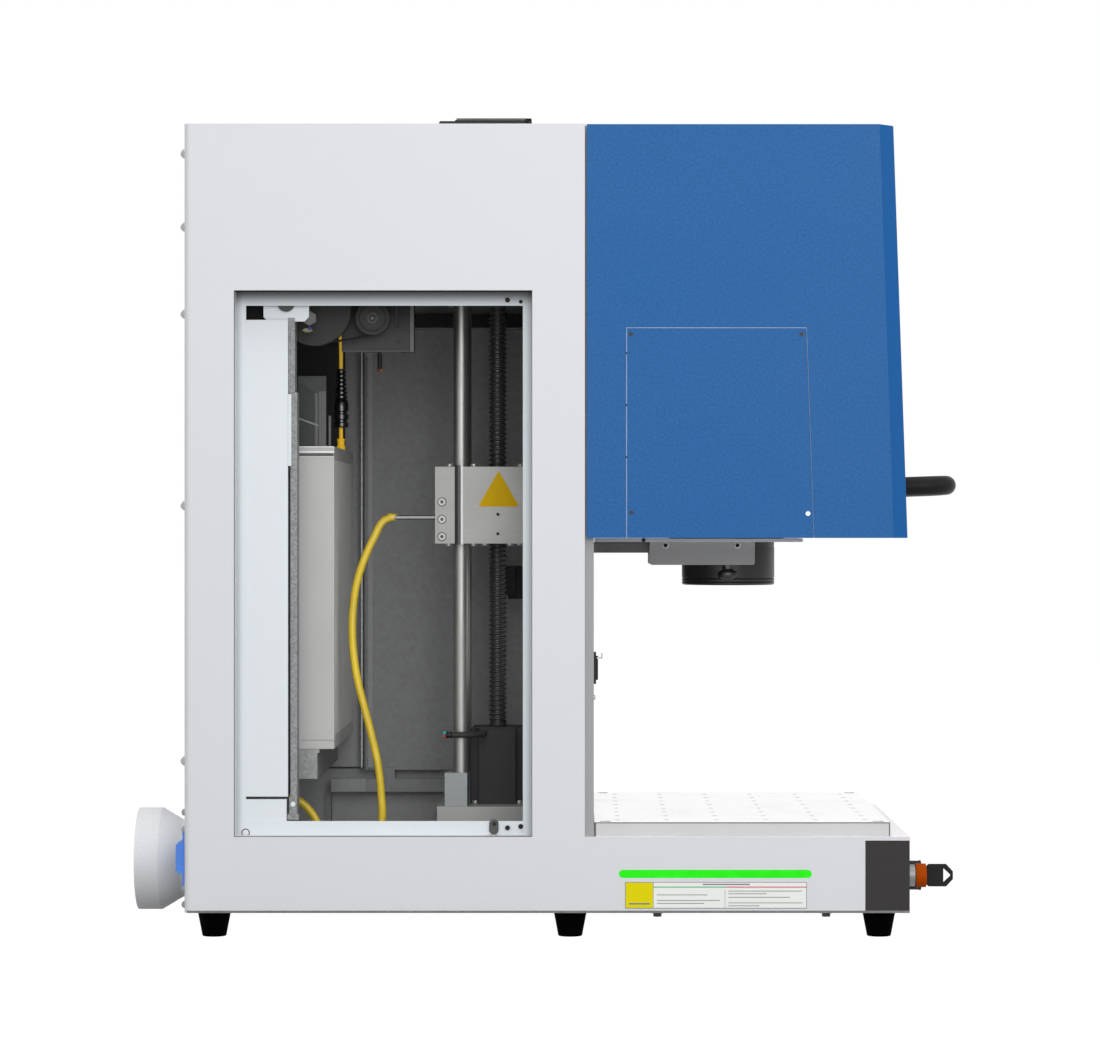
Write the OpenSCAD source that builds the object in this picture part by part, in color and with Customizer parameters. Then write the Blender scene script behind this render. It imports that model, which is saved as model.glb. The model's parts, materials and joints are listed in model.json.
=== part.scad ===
// Desktop fiber laser marking machine: a column and base of folded sheet, a lifting
// hood, and a focusing head that runs on two rods and a lead screw.
// Origin: middle of the footprint, on the surface that the feet stand on.
// +X is the operator's side, -Y the service side, +Z up. Millimetres.

/* [Body] */
// Width of the body across Y
body_w = 430; // [350:1:520]
// Length of the base, back face to front face
base_len = 726; // [600:1:860]
// Length of the column, back face to front edge
col_len = 401; // [385:1:440]
// Height of the column's top above the floor
body_top = 815.5; // [760:0.5:900]
// Height of the feet
foot_h = 26; // [16:1:40]
// Height of the base deck's top above the floor
deck_z = 102; // [92:1:112]
// Thickness of the sheet metal
sheet = 2; // [1.5:0.1:3]
// Outer radius of the rear bends
bend_r = 6; // [4:0.5:7]
// Thickness of the base deck
deck_t = 3.6; // [2:0.1:5]
// How far the column's front wall stands in front of the side sheets
front_step = 9; // [6:0.5:11]
// Gap between the front wall's flanges and the hood
hood_side_gap = 6; // [5:0.5:9]

/* [Service opening] */
// Distance from the back face to the opening
open_back = 50; // [40:1:60]
// Length of the opening
open_len = 298.4; // [270:0.1:320]
// Height of the opening's top above the floor
open_top = 648.7; // [630:0.1:670]
// Depth of the recess that the door sits in
recess = 25; // [15:1:26]
// Width of the ledge at the sides
ledge_side = 9.8; // [8:0.1:14]
// Width of the ledge at the top and the bottom
ledge_end = 13.8; // [10:0.1:16]

/* [Hood] */
// Gap between the column and the hood
hood_gap = 2; // [1.5:0.1:4]
// Height of the hood's lower edge when raised
hood_z = 401; // [380:1:430]
// Length of the hood along its lower edge
hood_len = 322.3; // [300:0.1:340]
// Lean of the hood's front, in degrees
hood_lean = 1.98; // [0:0.01:4]
// Depth of the chamfered front corners
hood_chamfer = 15; // [8:0.5:25]
// Length of the side access panel along its top
access_len = 180.5; // [140:0.5:200]
// Height of the side access panel
access_h = 210.6; // [170:0.1:240]
// Distance from the hood's back edge to the access panel
access_back = 39.5; // [30:0.5:60]
// Gap round the access panel
seam = 0.6; // [0.3:0.1:1.5]
// Diameter of the handle's bar
handle_d = 20; // [14:1:24]
// Width of the handle between the middles of its legs
handle_w = 140; // [100:1:200]
// How far the handle stands out
handle_out = 66; // [50:1:80]

/* [Head] */
// Diameter of the guide rods
rod_d = 16; // [12:1:20]
// Distance between the guide rods
rod_gap = 90; // [80:1:110]
// Outer diameter of the lead screw
screw_d = 18; // [14:1:20]
// Height of the carriage block
carriage_h = 80; // [60:1:100]
// Height of the carriage's underside when raised
carriage_z = 394.8; // [380:0.1:400]
// Diameter of the lens barrel
lens_d = 98; // [80:1:104]
// Height of the lens's lower edge above the floor
lens_z = 351; // [340:1:360]
// Running clearance on rods and screw, radial
run_fit = 0.05; // [0.03:0.01:0.09]

/* [Table] */
// Length of the work table
table_len = 296.5; // [250:0.5:300]
// Thickness of the work table
table_t = 14; // [10:1:20]
// Space between the table and the hood's walls
table_side = 7; // [4:1:20]
// Spacing of the tapped holes along X
tap_dx = 50; // [40:1:60]
// Spacing of the tapped holes along Y
tap_dy = 50; // [40:1:60]
// Radius of the tapped holes
tap_r = 2.5; // [2:0.1:4]

/* [Services] */
// Outer diameter of the hose collar
duct_d = 104; // [90:1:110]
// Straight length of the hose collar
collar_len = 24; // [20:1:40]
// How far the duct stands out at the back
duct_out = 55.5; // [50:0.5:80]
// Outer diameter of the duct's neck
neck_d = 78.4; // [60:0.2:84]
// Wall of the duct
duct_wall = 1.5; // [1:0.1:3]
// Size of the square fan frame
fan_w = 80; // [76:1:84]
// Travel of the stop button
stop_travel = 4; // [2:0.5:5]

/* [Hidden] */

big = 2000; // larger than the machine, for cuts
fs = 64; // fineness of round parts
near_y = -body_w / 2; // outer face on the service side
far_y = body_w / 2; // outer face on the far side
handle_h = 52.7; // height of the handle above the hood's lower edge
lean = tan(hood_lean);
handle_reach = col_len + hood_gap + hood_len - handle_h * lean + handle_out * cos(hood_lean);
total_len = duct_out + handle_reach;
x_back = -total_len / 2 + duct_out; // back face of the body
x_col = x_back + col_len; // front edge of the column's side sheets
x_wall = x_col + front_step; // outer face of the column's front wall
x_front = x_back + base_len; // front face of the base
base_z = foot_h; // underside of the base
open_x0 = x_back + open_back;
open_x1 = open_x0 + open_len;
open_z0 = deck_z;
ledge_y = near_y + recess; // front face of the ledge
part_y = ledge_y + sheet; // front face of the partitions behind it
side_return = 4.5; // stiffening return at the hood's back edge
hood_x = x_col + hood_gap;
hood_top_z = body_top - 0.5;
hood_h = hood_top_z - hood_z;
hood_front_z = hood_x + hood_len; // front of the hood at its lower edge
wall_y = body_w / 2 - sheet - hood_side_gap; // outer face of the front wall's flanges
table_w = body_w - 2 * (sheet + table_side);
table_x0 = x_wall + 0.5;
hole_fit = 0.3; // room round screws and pins that do not run
foot_r_top = 17;
foot_r_low = 12;
foot_xs = [27.5, base_len * 0.532, base_len - 28.5];
foot_y = body_w / 2 - 30;
panel_t = 2; // thickness of the inner plates
cap_len = 44.5; // how far the dark front panel wraps round the sides
lamp_x0 = 435;
lamp_len = 193;
lamp_h = 8.2;
lamp_z = 65;
label_x0 = 441;
label_len = 182;
label_h = 26.6;
label_z = 43.7;
label_t = 0.3;

// axis positions
rod_x = x_back + 271.7;
screw_x = x_back + 309;
shelf_z = 690; // underside of the upper shelf
shelf_t = 2.5;
plate_top = 120.5; // top of the head's base plate
z_plate_t = 16;
top_plate_z = 674;
motor_w = 57;
motor_h = 79;
journal_r = 5;
head_slot_y = 100; // width of the head's slot in the front wall
head_travel = 130;
hood_travel = 297;
slot_low = carriage_z - head_travel - 20;
slot_high = 462;
bearing_d = 28;
bearing_len = 37;
nut_d = 30;
carriage_x0 = x_back + 245.2;
carriage_x1 = x_back + 350;
carriage_w = 136;
lens_x = x_back + 553;
arm_t = 11;
arm_z = 385; // underside of the arm
tray_z = 396.4;
tray_t = 3.6;
tray_w = 130;
duct_y = -122;
duct_z = 72.4;
fan_r = 37;
hub_r = 16;
stop_z = 59.5;
key_z = 56.4;
stop_y = -172;
key_y = -138;
lift_x = x_back + 126.4;
lift_z = 632.9;
lift_r = 36.6;
motor_x = x_back + 185.2;
motor_z = 624.3;
pulley_r = 17.3;
belt_w = 9;
belt_t = 1.6;
lift_plate_y = -140;
source_x1 = x_back + 143.2;
source_w = 108;
source_y0 = -110;
source_len = 306;
source_z = 183.4;
source_h = 311.7;
rail_y = 175;
rail_w = 15;
rail_h = 12;
tongue_y = 157;
port_x = x_back + 254;
port_len = 87.4;
port_w = 90;
port_y0 = near_y + 10;

// A block between two corners
module block(a, b) {
    translate(a) cube(b - a);
}

// Cylinders along X and Y, from a point, for a length
module rod_along_x(p, r, len, r2 = -1) {
    translate(p) rotate([0, 90, 0]) cylinder(h = len, r1 = r, r2 = r2 < 0 ? r : r2, $fn = fs);
}
module rod_along_y(p, r, len) {
    translate(p) rotate([-90, 0, 0]) cylinder(h = len, r = r, $fn = fs);
}
module rod_along_z(p, r, len) {
    translate(p) cylinder(h = len, r = r, $fn = fs);
}

// A flat outline in X and Z, made t thick from y towards +Y
module xz_plate(y, t) {
    translate([0, y + t, 0]) rotate([90, 0, 0]) linear_extrude(t) children();
}

// A socket-head screw along +Z, its head's top at the point
module socket_screw(head_r, head_h, shank_r, len) {
    difference() {
        union() {
            translate([0, 0, -head_h]) cylinder(h = head_h, r = head_r, $fn = 32);
            translate([0, 0, -head_h - len]) cylinder(h = len + 1, r = shank_r, $fn = 32);
        }
        translate([0, 0, -head_h * 0.55]) cylinder(h = head_h, r = head_r * 0.5, $fn = 6);
    }
}

// Side sheet outline: column and base in one piece
module side_outline(x0) {
    polygon([[x0, base_z], [x_front - cap_len, base_z], [x_front - cap_len, deck_z - deck_t],
        [x_col, deck_z - deck_t], [x_col, body_top], [x0, body_top]]);
}

// One side of the body with its rear bend, its bottom flange and its front flange
module side_shell() {
    rear = 25;
    xz_plate(near_y, sheet) side_outline(x_back + bend_r);
    translate([x_back + bend_r, near_y + bend_r, base_z]) intersection() {
        difference() {
            cylinder(h = body_top - base_z, r = bend_r, $fn = fs);
            translate([0, 0, -1]) cylinder(h = big, r = bend_r - sheet, $fn = fs);
        }
        translate([-bend_r, -bend_r, 0]) cube([bend_r, bend_r, big]);
    }
    block([x_back, near_y + bend_r, base_z], [x_back + sheet, near_y + rear, body_top]);
    block([x_back + bend_r, near_y + sheet - 0.5, base_z],
        [x_front - cap_len, near_y + 20, base_z + sheet]);
    block([x_col - sheet, near_y + sheet - 0.5, deck_z], [x_col, -wall_y, body_top]);
}

// Outline of the signal lamp: a bar with round ends
module lamp_outline(inset) {
    x0 = x_back + lamp_x0 + inset;
    x1 = x_back + lamp_x0 + lamp_len - inset;
    r = lamp_h / 2 - inset;
    for (x = [x0 + r, x1 - r]) translate([x, lamp_z]) circle(r = r, $fn = fs);
    translate([x0 + r, lamp_z - r]) square([x1 - x0 - 2 * r, 2 * r]);
}

// The service opening, with its recessed ledge
module near_side() color("#d9dbdf") {
    difference() {
        side_shell();
        block([open_x0, near_y - 1, open_z0], [open_x1, near_y + sheet + 1, open_top]);
        rear_bolt_holes();
        inlet_hole();
        base_bolt_places() cylinder(h = 60, r = 2.5 + hole_fit, $fn = 32);
        xz_plate(near_y - 1, sheet + 2) lamp_outline(0);
    }
    difference() {
        block([open_x0 - sheet, near_y, open_z0 - sheet],
            [open_x1 + sheet, ledge_y + sheet, open_top + sheet]);
        block([open_x0, near_y - 1, open_z0], [open_x1, ledge_y, open_top]);
        block([open_x0 + ledge_side, near_y - 1, open_z0 + ledge_end],
            [open_x1 - ledge_side, big, open_top - ledge_end]);
        for (p = [[open_x1 - 24.4, open_top - 9.5, 2.6], [open_x1 - 11.6, open_top - 10.7, 1.9],
                  [open_x1 - 24.4, open_z0 + 9.5, 2], [open_x1 - 11.6, open_z0 + 10.7, 1.9]])
            rod_along_y([p[0], ledge_y - 1, p[1]], p[2], sheet + 2);
        xz_plate(ledge_y - 1, sheet + 2) latch_slot();
    }
}

// Rounded slot that the door's latch enters
module latch_slot() {
    w = 7;
    for (z = [open_z0 + 5, open_z0 + ledge_end - 5])
        translate([open_x1 - 38.5, z]) circle(d = w, $fn = fs);
    translate([open_x1 - 38.5 - w / 2, open_z0 + 5]) square([w, ledge_end - 10]);
}

bolt_zs = [177.4, 433.5, 625.6, 713, 786.5];
module rear_bolt_holes() {
    for (z = bolt_zs) rod_along_x([x_back - 1, near_y + 12, z], 2.5 + hole_fit, 12);
}

// The far side, plain apart from the cooling slots behind the laser source
module far_side() color("#d9dbdf") difference() {
    mirror([0, 1, 0]) side_shell();
    mirror([0, 1, 0]) rear_bolt_holes();
    base_bolt_places() cylinder(h = 60, r = 2.5 + hole_fit, $fn = 32);
    for (i = [0 : 11]) block([source_x1 - 96, far_y - sheet - 1, source_z + 30 + i * 18],
        [source_x1 - 12, far_y + 1, source_z + 35 + i * 18]);
}

// The back wall, behind the side sheets' rear flanges
module rear_panel() color("#d4d6da") difference() {
    block([x_back + sheet, near_y + bend_r + 1, base_z + sheet],
        [x_back + 2 * sheet, far_y - bend_r - 1, body_top - sheet]);
    rear_bolt_holes();
    mirror([0, 1, 0]) rear_bolt_holes();
    rod_along_x([x_back, duct_y, duct_z], neck_d / 2 + hole_fit, 10);
    inlet_hole();
    for (i = [0 : 7]) block([x_back, 40, 90 + i * 14], [x_back + 10, 150, 95 + i * 14]);
}

// The lid of the column
module top_panel() color("#d9dbdf") difference() {
    block([x_back + 2 * sheet, near_y + sheet + seam, body_top - sheet],
        [x_wall, far_y - sheet - seam, body_top]);
    for (s = [0, 1]) mirror([0, s, 0])
        block([x_col - sheet - hole_fit, near_y, 0], [x_wall + 1, -wall_y, big]);
    block([port_x + 8, port_y0 + 8, 0], [port_x + port_len - 8, port_y0 + port_w - 8, big]);
}

module base_plates() {
    floor_plate();
    base_deck();
}
module floor_plate() color("#b9bbbe") difference() {
    block([x_back + 2 * sheet, near_y + sheet + seam, base_z + sheet],
        [x_front - sheet, far_y - sheet - seam, base_z + 2 * sheet]);
    for (x = foot_xs, s = [-1, 1]) rod_along_z([x_back + x, s * foot_y, 0], 4 + hole_fit, 60);
    base_bolt_places() cylinder(h = 60, r = 2.5 + hole_fit, $fn = 32);
}

// The base's top in front of the column
module base_deck() color("#dcdee2") difference() {
    block([x_col, near_y, deck_z - deck_t], [x_front, far_y, deck_z]);
    table_bolt_places() translate([0, 0, -40]) cylinder(h = 60, r = 3 + hole_fit, $fn = 32);
}

// The column's front wall, with slots for the head's arm and the hood's two tongues
module column_front() color("#9a9c9c") difference() {
    union() {
        block([x_wall - sheet, -wall_y, deck_z], [x_wall, wall_y, body_top - sheet]);
        for (s = [-1, 1]) block([x_col - 16, min(s * wall_y, s * (wall_y - sheet)), deck_z],
            [x_wall, max(s * wall_y, s * (wall_y - sheet)), body_top - sheet]);
        block([x_col - 16, -wall_y + sheet, deck_z], [x_wall, wall_y - sheet, deck_z + sheet]);
    }
    block([x_col, -head_slot_y / 2, slot_low], [x_wall + 1, head_slot_y / 2, slot_high]);
    for (s = [-1, 1]) translate([0, s * tongue_y, 0])
        block([x_col, -6, tongue_z0 - hood_travel - 8], [x_wall + 1, 6, tongue_z1 + 8]);
}
tongue_z0 = 470;
tongue_z1 = 740;

// The dark panel that wraps round the front of the base
module front_panel() color("#3d3b3b") difference() {
    block([x_front - cap_len, near_y, base_z], [x_front, far_y, deck_z - deck_t]);
    block([x_front - cap_len - 1, near_y + sheet, base_z - 1], [x_front - sheet, far_y - sheet, big]);
    rod_along_x([x_front - 10, stop_y, stop_z], 8 + hole_fit, 20);
    rod_along_x([x_front - 10, key_y, key_z], 9.5 + hole_fit, 20);
}

// The long green lamp, flush in the side sheet
module lamp_strip() color("#2ff01f") {
    xz_plate(near_y - 0.3, sheet + 1) lamp_outline(hole_fit / 2);
    block([x_back + lamp_x0 - 8, near_y + sheet, lamp_z - 7],
        [x_back + lamp_x0 + lamp_len + 8, near_y + sheet + 4, lamp_z + 7]);
}

module side_label() color("white")
    block([x_back + label_x0, near_y - label_t, label_z - label_h / 2],
        [x_back + label_x0 + label_len, near_y, label_z + label_h / 2]);

// Six rubber feet, each with its stud
module feet() color("#111111") for (x = foot_xs, s = [-1, 1]) translate([x_back + x, s * foot_y, 0]) {
    cylinder(h = foot_h, r1 = foot_r_low, r2 = foot_r_top, $fn = fs);
    cylinder(h = foot_h + 2 * sheet + 4, r = 4, $fn = fs);
}

bolt_xs = [base_len * 0.6527, base_len * 0.886];
module base_bolt_places() {
    for (x = bolt_xs, s = [-1, 1]) translate([x_back + x, s * (body_w / 2 - 14), 0]) children();
}

// Hex bolts with washers under the base
module frame_bolts() {
    base_bolts();
    table_bolts();
    rear_bolts();
}
module base_bolts() color("#1b1b1b") base_bolt_places() {
    translate([0, 0, base_z - 1.2]) cylinder(h = 1.2, r = 8, $fn = fs);
    translate([0, 0, base_z - 5]) cylinder(h = 4, r = 4.2, $fn = 6);
    translate([0, 0, base_z - 1]) cylinder(h = 9, r = 2.5, $fn = 32);
}

// Button-head bolts that hold the back wall
module rear_bolts() color("#8c8f92") for (z = bolt_zs, s = [-1, 1])
    translate([x_back, s * (body_w / 2 - 12), z]) rotate([0, -90, 0]) difference() {
        union() {
            rotate_extrude($fn = fs) polygon([[0, 0], [5, 0], [4.7, 1.6], [3.4, 3.4], [1.8, 4.6], [0, 4.6]]);
            translate([0, 0, -8]) cylinder(h = 9, r = 2.5, $fn = 32);
        }
        translate([0, 0, 2.4]) cylinder(h = 5, r = 1.5, $fn = 6);
    }

// Work table with its grid of tapped holes
module work_table() color("#cfcfcf") {
    n = [floor((table_len - 40) / tap_dx), floor((table_w - 40) / tap_dy)];
    difference() {
        block([table_x0, -table_w / 2, deck_z], [table_x0 + table_len, table_w / 2, deck_z + table_t]);
        for (i = [0 : n[0]], j = [0 : n[1]])
            rod_along_z([table_mid + (i - n[0] / 2) * tap_dx, (j - n[1] / 2) * tap_dy, deck_z - 1],
                tap_r, table_t + 2);
        table_bolt_places() {
            translate([0, 0, -20]) cylinder(h = 40, r = 3 + hole_fit, $fn = 32);
            translate([0, 0, -6.5]) cylinder(h = 10, r = 5.5 + hole_fit, $fn = fs);
        }
    }
}
table_mid = table_x0 + table_len / 2;
module table_bolt_places() {
    for (sx = [-1, 1], sy = [-1, 1])
        translate([table_mid + sx * (table_len / 2 - 11), sy * (table_w / 2 - 11), deck_z + table_t])
            children();
}
module table_bolts() color("#55585b") table_bolt_places()
    translate([0, 0, -0.5]) socket_screw(5.5, 6, 3, table_t + deck_t + 2 - 6.5);

// Shelf across the column that carries the lift and the head's upper plate
module shelves() {
    upper_shelf();
    lower_shelf();
}
module upper_shelf() color("#a5a7a9") difference() {
    block([x_back + 2 * sheet, near_y + sheet + seam, shelf_z],
        [x_wall - sheet, far_y - sheet - seam, shelf_z + shelf_t]);
    for (s = [-1, 1]) {
        y = s > 0 ? wall_y - sheet : near_y;
        block([x_col - 16, y, 0], [x_wall, y + hood_side_gap + 2 * sheet, big]);
        block([x_col - 26, s * rail_y - 22 - (s > 0 ? 2 : 0), 0], [x_wall, s * rail_y + 22, big]);
    }
    rod_along_z([fibre_x, fibre_y, 600], 5, 200);
}

// Thick shelf on the base's floor that carries the head's base plate
lower_shelf_t = 6;
module lower_shelf() color("#8b8d8f") {
    z1 = plate_top - z_plate_t;
    block([x_back + 240, -90, z1 - lower_shelf_t], [x_col - 16, 90, z1]);
    for (s = [-1, 1]) block([x_back + 240, s > 0 ? 84 : -90, base_z + 2 * sheet],
        [x_col - 16, s > 0 ? 90 : -84, z1 - lower_shelf_t + 0.1]);
}

// White partition in front of the laser source
part_z0 = 140.2;
part_z1 = 620.8;
part_x1 = x_back + 102;
module partitions() color("#d8dee3") {
    block([x_back + 30, part_y, part_z0], [part_x1, part_y + panel_t, part_z1]);
    block([part_x1 - panel_t, part_y, part_z0], [part_x1, source_y0 - 2.3, lift_z - lift_r - 6]);
    block([x_back + 30, part_y, 60], [part_x1 - 1.4, part_y + panel_t, part_z0 - 2.5]);
    block([x_back + 30, part_y, 60], [x_back + 32, part_y + 30, part_z0 - 2.5]);
}

// Laser source: a ribbed box on edge
module laser_source() color("#aaaaa7") difference() {
    union() {
        block([source_x1 - source_w, source_y0, source_z],
            [source_x1, source_y0 + source_len, source_z + source_h]);
        rod_along_z([x_back + 79, -60, source_z - 12.4], 7, 13);
    }
    for (z = [8.4, source_h - 8.8]) for (e = [0, 1])
        block([source_x1 - source_w - 1, e ? source_y0 + source_len - 1 : source_y0 - 1, source_z + z - 0.8],
            [source_x1 + 1, e ? source_y0 + source_len + 1 : source_y0 + 1, source_z + z + 0.8]);
    for (i = [0 : 17]) block([source_x1 - 1.2, source_y0 + 10 + i * 16.5, source_z + 14],
        [source_x1 + 1, source_y0 + 18 + i * 16.5, source_z + source_h - 14]);
}

// Angle tray under the source, fixed to the back wall, and the angle above it
module source_tray() color("#8e9090") {
    difference() {
        union() {
            block([x_back + 2 * sheet, source_y0 - 2, source_z - 4],
                [x_back + 128, source_y0 + source_len, source_z]);
            block([x_back + 2 * sheet, source_y0 - 2, source_z - 0.1],
                [x_back + 3 * sheet, source_y0 + source_len, source_z + 24]);
            block([x_back + 103, source_y0 - 2, source_z - 30.7],
                [x_back + 126, source_y0, source_z - 3]);
            block([x_back + 124, source_y0 - 2, source_z - 30.7],
                [x_back + 126, source_y0 + source_len, source_z - 3]);
        }
        rod_along_z([x_back + 79, -60, source_z - 20], 7.3, 30);
    }
    block([x_back + 105.4, source_y0, source_z + source_h],
        [x_back + 134.9, source_y0 + 2, source_z + source_h + 72.4]);
    block([x_back + 105.4, source_y0, source_z + source_h],
        [x_back + 134.9, source_y0 + 26, source_z + source_h + 2]);
}

// The fibre's output: nut, connector body and ribbed boot on top of the source
fibre_x = x_back + 139.5;
fibre_y = 50;
nut_z = source_z + source_h;
module fibre_connector() color("#1f1f1f") translate([fibre_x, fibre_y, nut_z])
    rotate_extrude($fn = fs) polygon(concat(
        [[0, 0], [3.6, 0], [3.6, 11.5], [1.7, 12], [1.7, 23.5], [7.4, 24], [8, 26], [8, 51], [6, 54]],
        [for (i = [0 : 11]) let (r = 5.9 - 0.17 * i) [i % 2 == 0 ? r : r - 1.2, 54.5 + i * 2.7]],
        [[3.2, 86.5], [0, 86.5]]));

// Sections of a tube swept along points
function unit(v) = v / norm(v);
function mid_dir(p, i) = unit(p[min(i + 1, len(p) - 1)] - p[max(i - 1, 0)]);
function side_of(d) = unit(cross(d, abs(d[1]) < 0.9 ? [0, 1, 0] : [1, 0, 0]));
function ring(c, d, r, n) = let (u = side_of(d), v = cross(d, u))
    [for (k = [0 : n - 1]) c + r * (cos(360 * k / n) * u + sin(360 * k / n) * v)];
module tube(path, r, n = 8) {
    m = len(path);
    pts = [for (i = [0 : m - 1]) each ring(path[i], mid_dir(path, i), r, n)];
    sides = [for (i = [0 : m - 2], k = [0 : n - 1])
        [i * n + k, i * n + (k + 1) % n, (i + 1) * n + (k + 1) % n, (i + 1) * n + k]];
    caps = [[for (k = [n - 1 : -1 : 0]) k], [for (k = [0 : n - 1]) (m - 1) * n + k]];
    polyhedron(points = pts, faces = concat(sides, caps), convexity = 6);
}
// Smooth path through the chosen points
function spline(a, b, c, d, t) = 0.5 * ((2 * b) + (c - a) * t + (2 * a - 5 * b + 4 * c - d) * t * t
    + (3 * b - a - 3 * c + d) * t * t * t);
function smooth(p, steps) = concat([for (i = [0 : len(p) - 2], s = [0 : steps - 1])
    spline(p[max(i - 1, 0)], p[i], p[i + 1], p[min(i + 2, len(p) - 1)], s / steps)], [p[len(p) - 1]]);

cable_r = 4;
cable_points = [[-168.5, -60, 422], [-176, -60, 418], [-185, -63, 402], [-195, -65, 380],
    [-203, -65, 355], [-207, -65, 329], [-208, -65, 301], [-206, -65, 274], [-202, -65, 250],
    [-196, -65, 226], [-189, -65, 199], [-181, -65, 163], [-178, -65, 134], [-177, -65, 106],
    [-182, -64, 84], [-194, -63, 69], [-210, -62, 64], [-227, -62, 69], [-238, -61, 84],
    [-245, -60, 104], [-256, -60, 120], [-271, -60, 132], [-282, -60, 144], [-288, -60, 157],
        [-288, -60, 170.5]];
module fibre_cable() color("#f7e280") tube(smooth(cable_points, 3), cable_r, 10);

pigtail_points = [[-227.5, 50, 582], [-227.5, 50, 598], [-228, 50, 616], [-228.5, 51, 634],
    [-228, 51, 654], [-227.5, 50, 672], [-227.5, 50, 690], [-227.5, 50, 703.5]];
module fibre_pigtail() color("#f0dc70") tube(smooth(pigtail_points, 2), 2, 8);

// White guide plate with chamfered corners and a hub, on a strap from the shelf
oct_x = x_back + 99.8;
oct_z = 638;
module octagon_plate() color("#e4e6e8") {
    xz_plate(part_y + panel_t + 2, 4) polygon([[oct_x - 23, oct_z - 14.2], [oct_x - 18.5, oct_z - 18.7],
        [oct_x + 18.5, oct_z - 18.7], [oct_x + 23, oct_z - 14.2], [oct_x + 23, oct_z + 30],
            [oct_x - 23, oct_z + 30]]);
    rod_along_y([oct_x, part_y + 0.5, oct_z], 9, 6);
    block([oct_x - 9, part_y + panel_t + 2.5, oct_z + 20], [oct_x + 9, part_y + panel_t + 5.5, shelf_z]);
    block([oct_x - 9, part_y + panel_t + 2.5, shelf_z - 4], [oct_x + 9, part_y + panel_t + 24, shelf_z]);
}

// Plates that carry the lift's shaft and motor under the shelf
lift_far_y = 150;
module lift_plate() color("#4a4a4a") difference() {
    union() {
        block([x_back + 80, lift_plate_y, 662], [x_back + 226.7, lift_plate_y + 3, shelf_z]);
        block([x_back + 152.8, lift_plate_y, 590.7], [x_back + 226.7, lift_plate_y + 3, 664]);
        block([x_back + 212.7, lift_plate_y, 590.7], [x_back + 226.7, lift_plate_y + 22, shelf_z]);
        block([x_back + 80, lift_plate_y, shelf_z - 3], [x_back + 226.7, lift_plate_y + 26, shelf_z]);
        rod_along_y([lift_x, lift_plate_y, lift_z], 20, 3);
        block([lift_x - 20, lift_plate_y, lift_z], [lift_x + 20, lift_plate_y + 3, 664]);
        rod_along_y([lift_x, lift_far_y, lift_z], 20, 3);
        block([lift_x - 20, lift_far_y, lift_z], [lift_x + 20, lift_far_y + 3, shelf_z]);
        block([lift_x - 20, lift_far_y, shelf_z - 3], [lift_x + 20, lift_far_y + 26, shelf_z]);
    }
    rod_along_y([lift_x, lift_plate_y - 1, lift_z], shaft_r + run_fit, 5);
    rod_along_y([lift_x, lift_far_y - 1, lift_z], shaft_r + run_fit, 5);
    rod_along_y([motor_x, lift_plate_y - 1, motor_z], 12, 5);
    block([x_back + 207, lift_plate_y - 1, 616], [x_back + 211, lift_plate_y + 4, 640]);
}
shaft_r = 6;

// Gearmotor of the lift and stepper motor of the head
module motors() {
    lift_motor();
    z_motor();
}
module lift_motor() color("#303030") difference() {
    union() {
        block([motor_x - 27, lift_plate_y + 3, motor_z - 27],
            [motor_x + 27, lift_plate_y + 78, motor_z + 27]);
        rod_along_y([motor_x, lift_plate_y + 0.5, motor_z], 11, 4);
    }
    rod_along_y([motor_x, lift_plate_y - 2, motor_z], 4 + run_fit, 30);
}

// Shaft across the column with its large belt pulley and two winding drums
module lift_shaft() color("#1c1c1c") {
    rod_along_y([lift_x, lift_plate_y - 17, lift_z], shaft_r, lift_far_y - lift_plate_y + 24);
    rod_along_y([lift_x, lift_plate_y - 16.5, lift_z], lift_r, 1.5);
    rod_along_y([lift_x, lift_plate_y - 15, lift_z], lift_r - 2.4, belt_w + 2);
    rod_along_y([lift_x, lift_plate_y - 4, lift_z], lift_r, 1.5);
    rod_along_y([lift_x, lift_far_y - 22, lift_z], 20, 20);
}
module motor_pulley() color("#242424") {
    rod_along_y([motor_x, lift_plate_y - 16.5, motor_z], pulley_r, 1.5);
    rod_along_y([motor_x, lift_plate_y - 15, motor_z], pulley_r - 2.4, belt_w + 2);
    rod_along_y([motor_x, lift_plate_y - 4, motor_z], pulley_r, 1.5);
    rod_along_y([motor_x, lift_plate_y - 18.5, motor_z], 4, 45);
}

// Toothed belt round both pulleys
module lift_belt() color("#161616") xz_plate(lift_plate_y - 14, belt_w) difference() {
    hull() {
        translate([lift_x, lift_z]) circle(r = lift_r - 2.1 + belt_t, $fn = fs);
        translate([motor_x, motor_z]) circle(r = pulley_r - 2.1 + belt_t, $fn = fs);
    }
    hull() {
        translate([lift_x, lift_z]) circle(r = lift_r - 2.1, $fn = fs);
        translate([motor_x, motor_z]) circle(r = pulley_r - 2.1, $fn = fs);
    }
}

// Mounting plate on the far side, with its folded edges and a cross rail
module rear_inner_plate() color("#6b6d6f") {
    x0 = x_back + 154;
    y = 196;
    block([x0, y, 141.3], [x_col - 20, y + panel_t, shelf_z]);
    block([x0 + 4, y - 10, 141.3], [x0 + 6, y + 1, 600]);
    block([x0, y, 141.3], [x0 + panel_t, far_y - sheet, shelf_z]);
    block([x_back + 157, y - 3, 117], [x_col - 20, y - 1, 132]);
    block([x_back + 157, y - 3, 130], [x_col - 20, y + panel_t, 132]);
    block([x_back + 170, y - 3, 130], [x_back + 190, y + 1, 144]);
    block([x_back + 204, y - 12, 632], [x_col - 20, y + 1, 647]);
}

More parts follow.
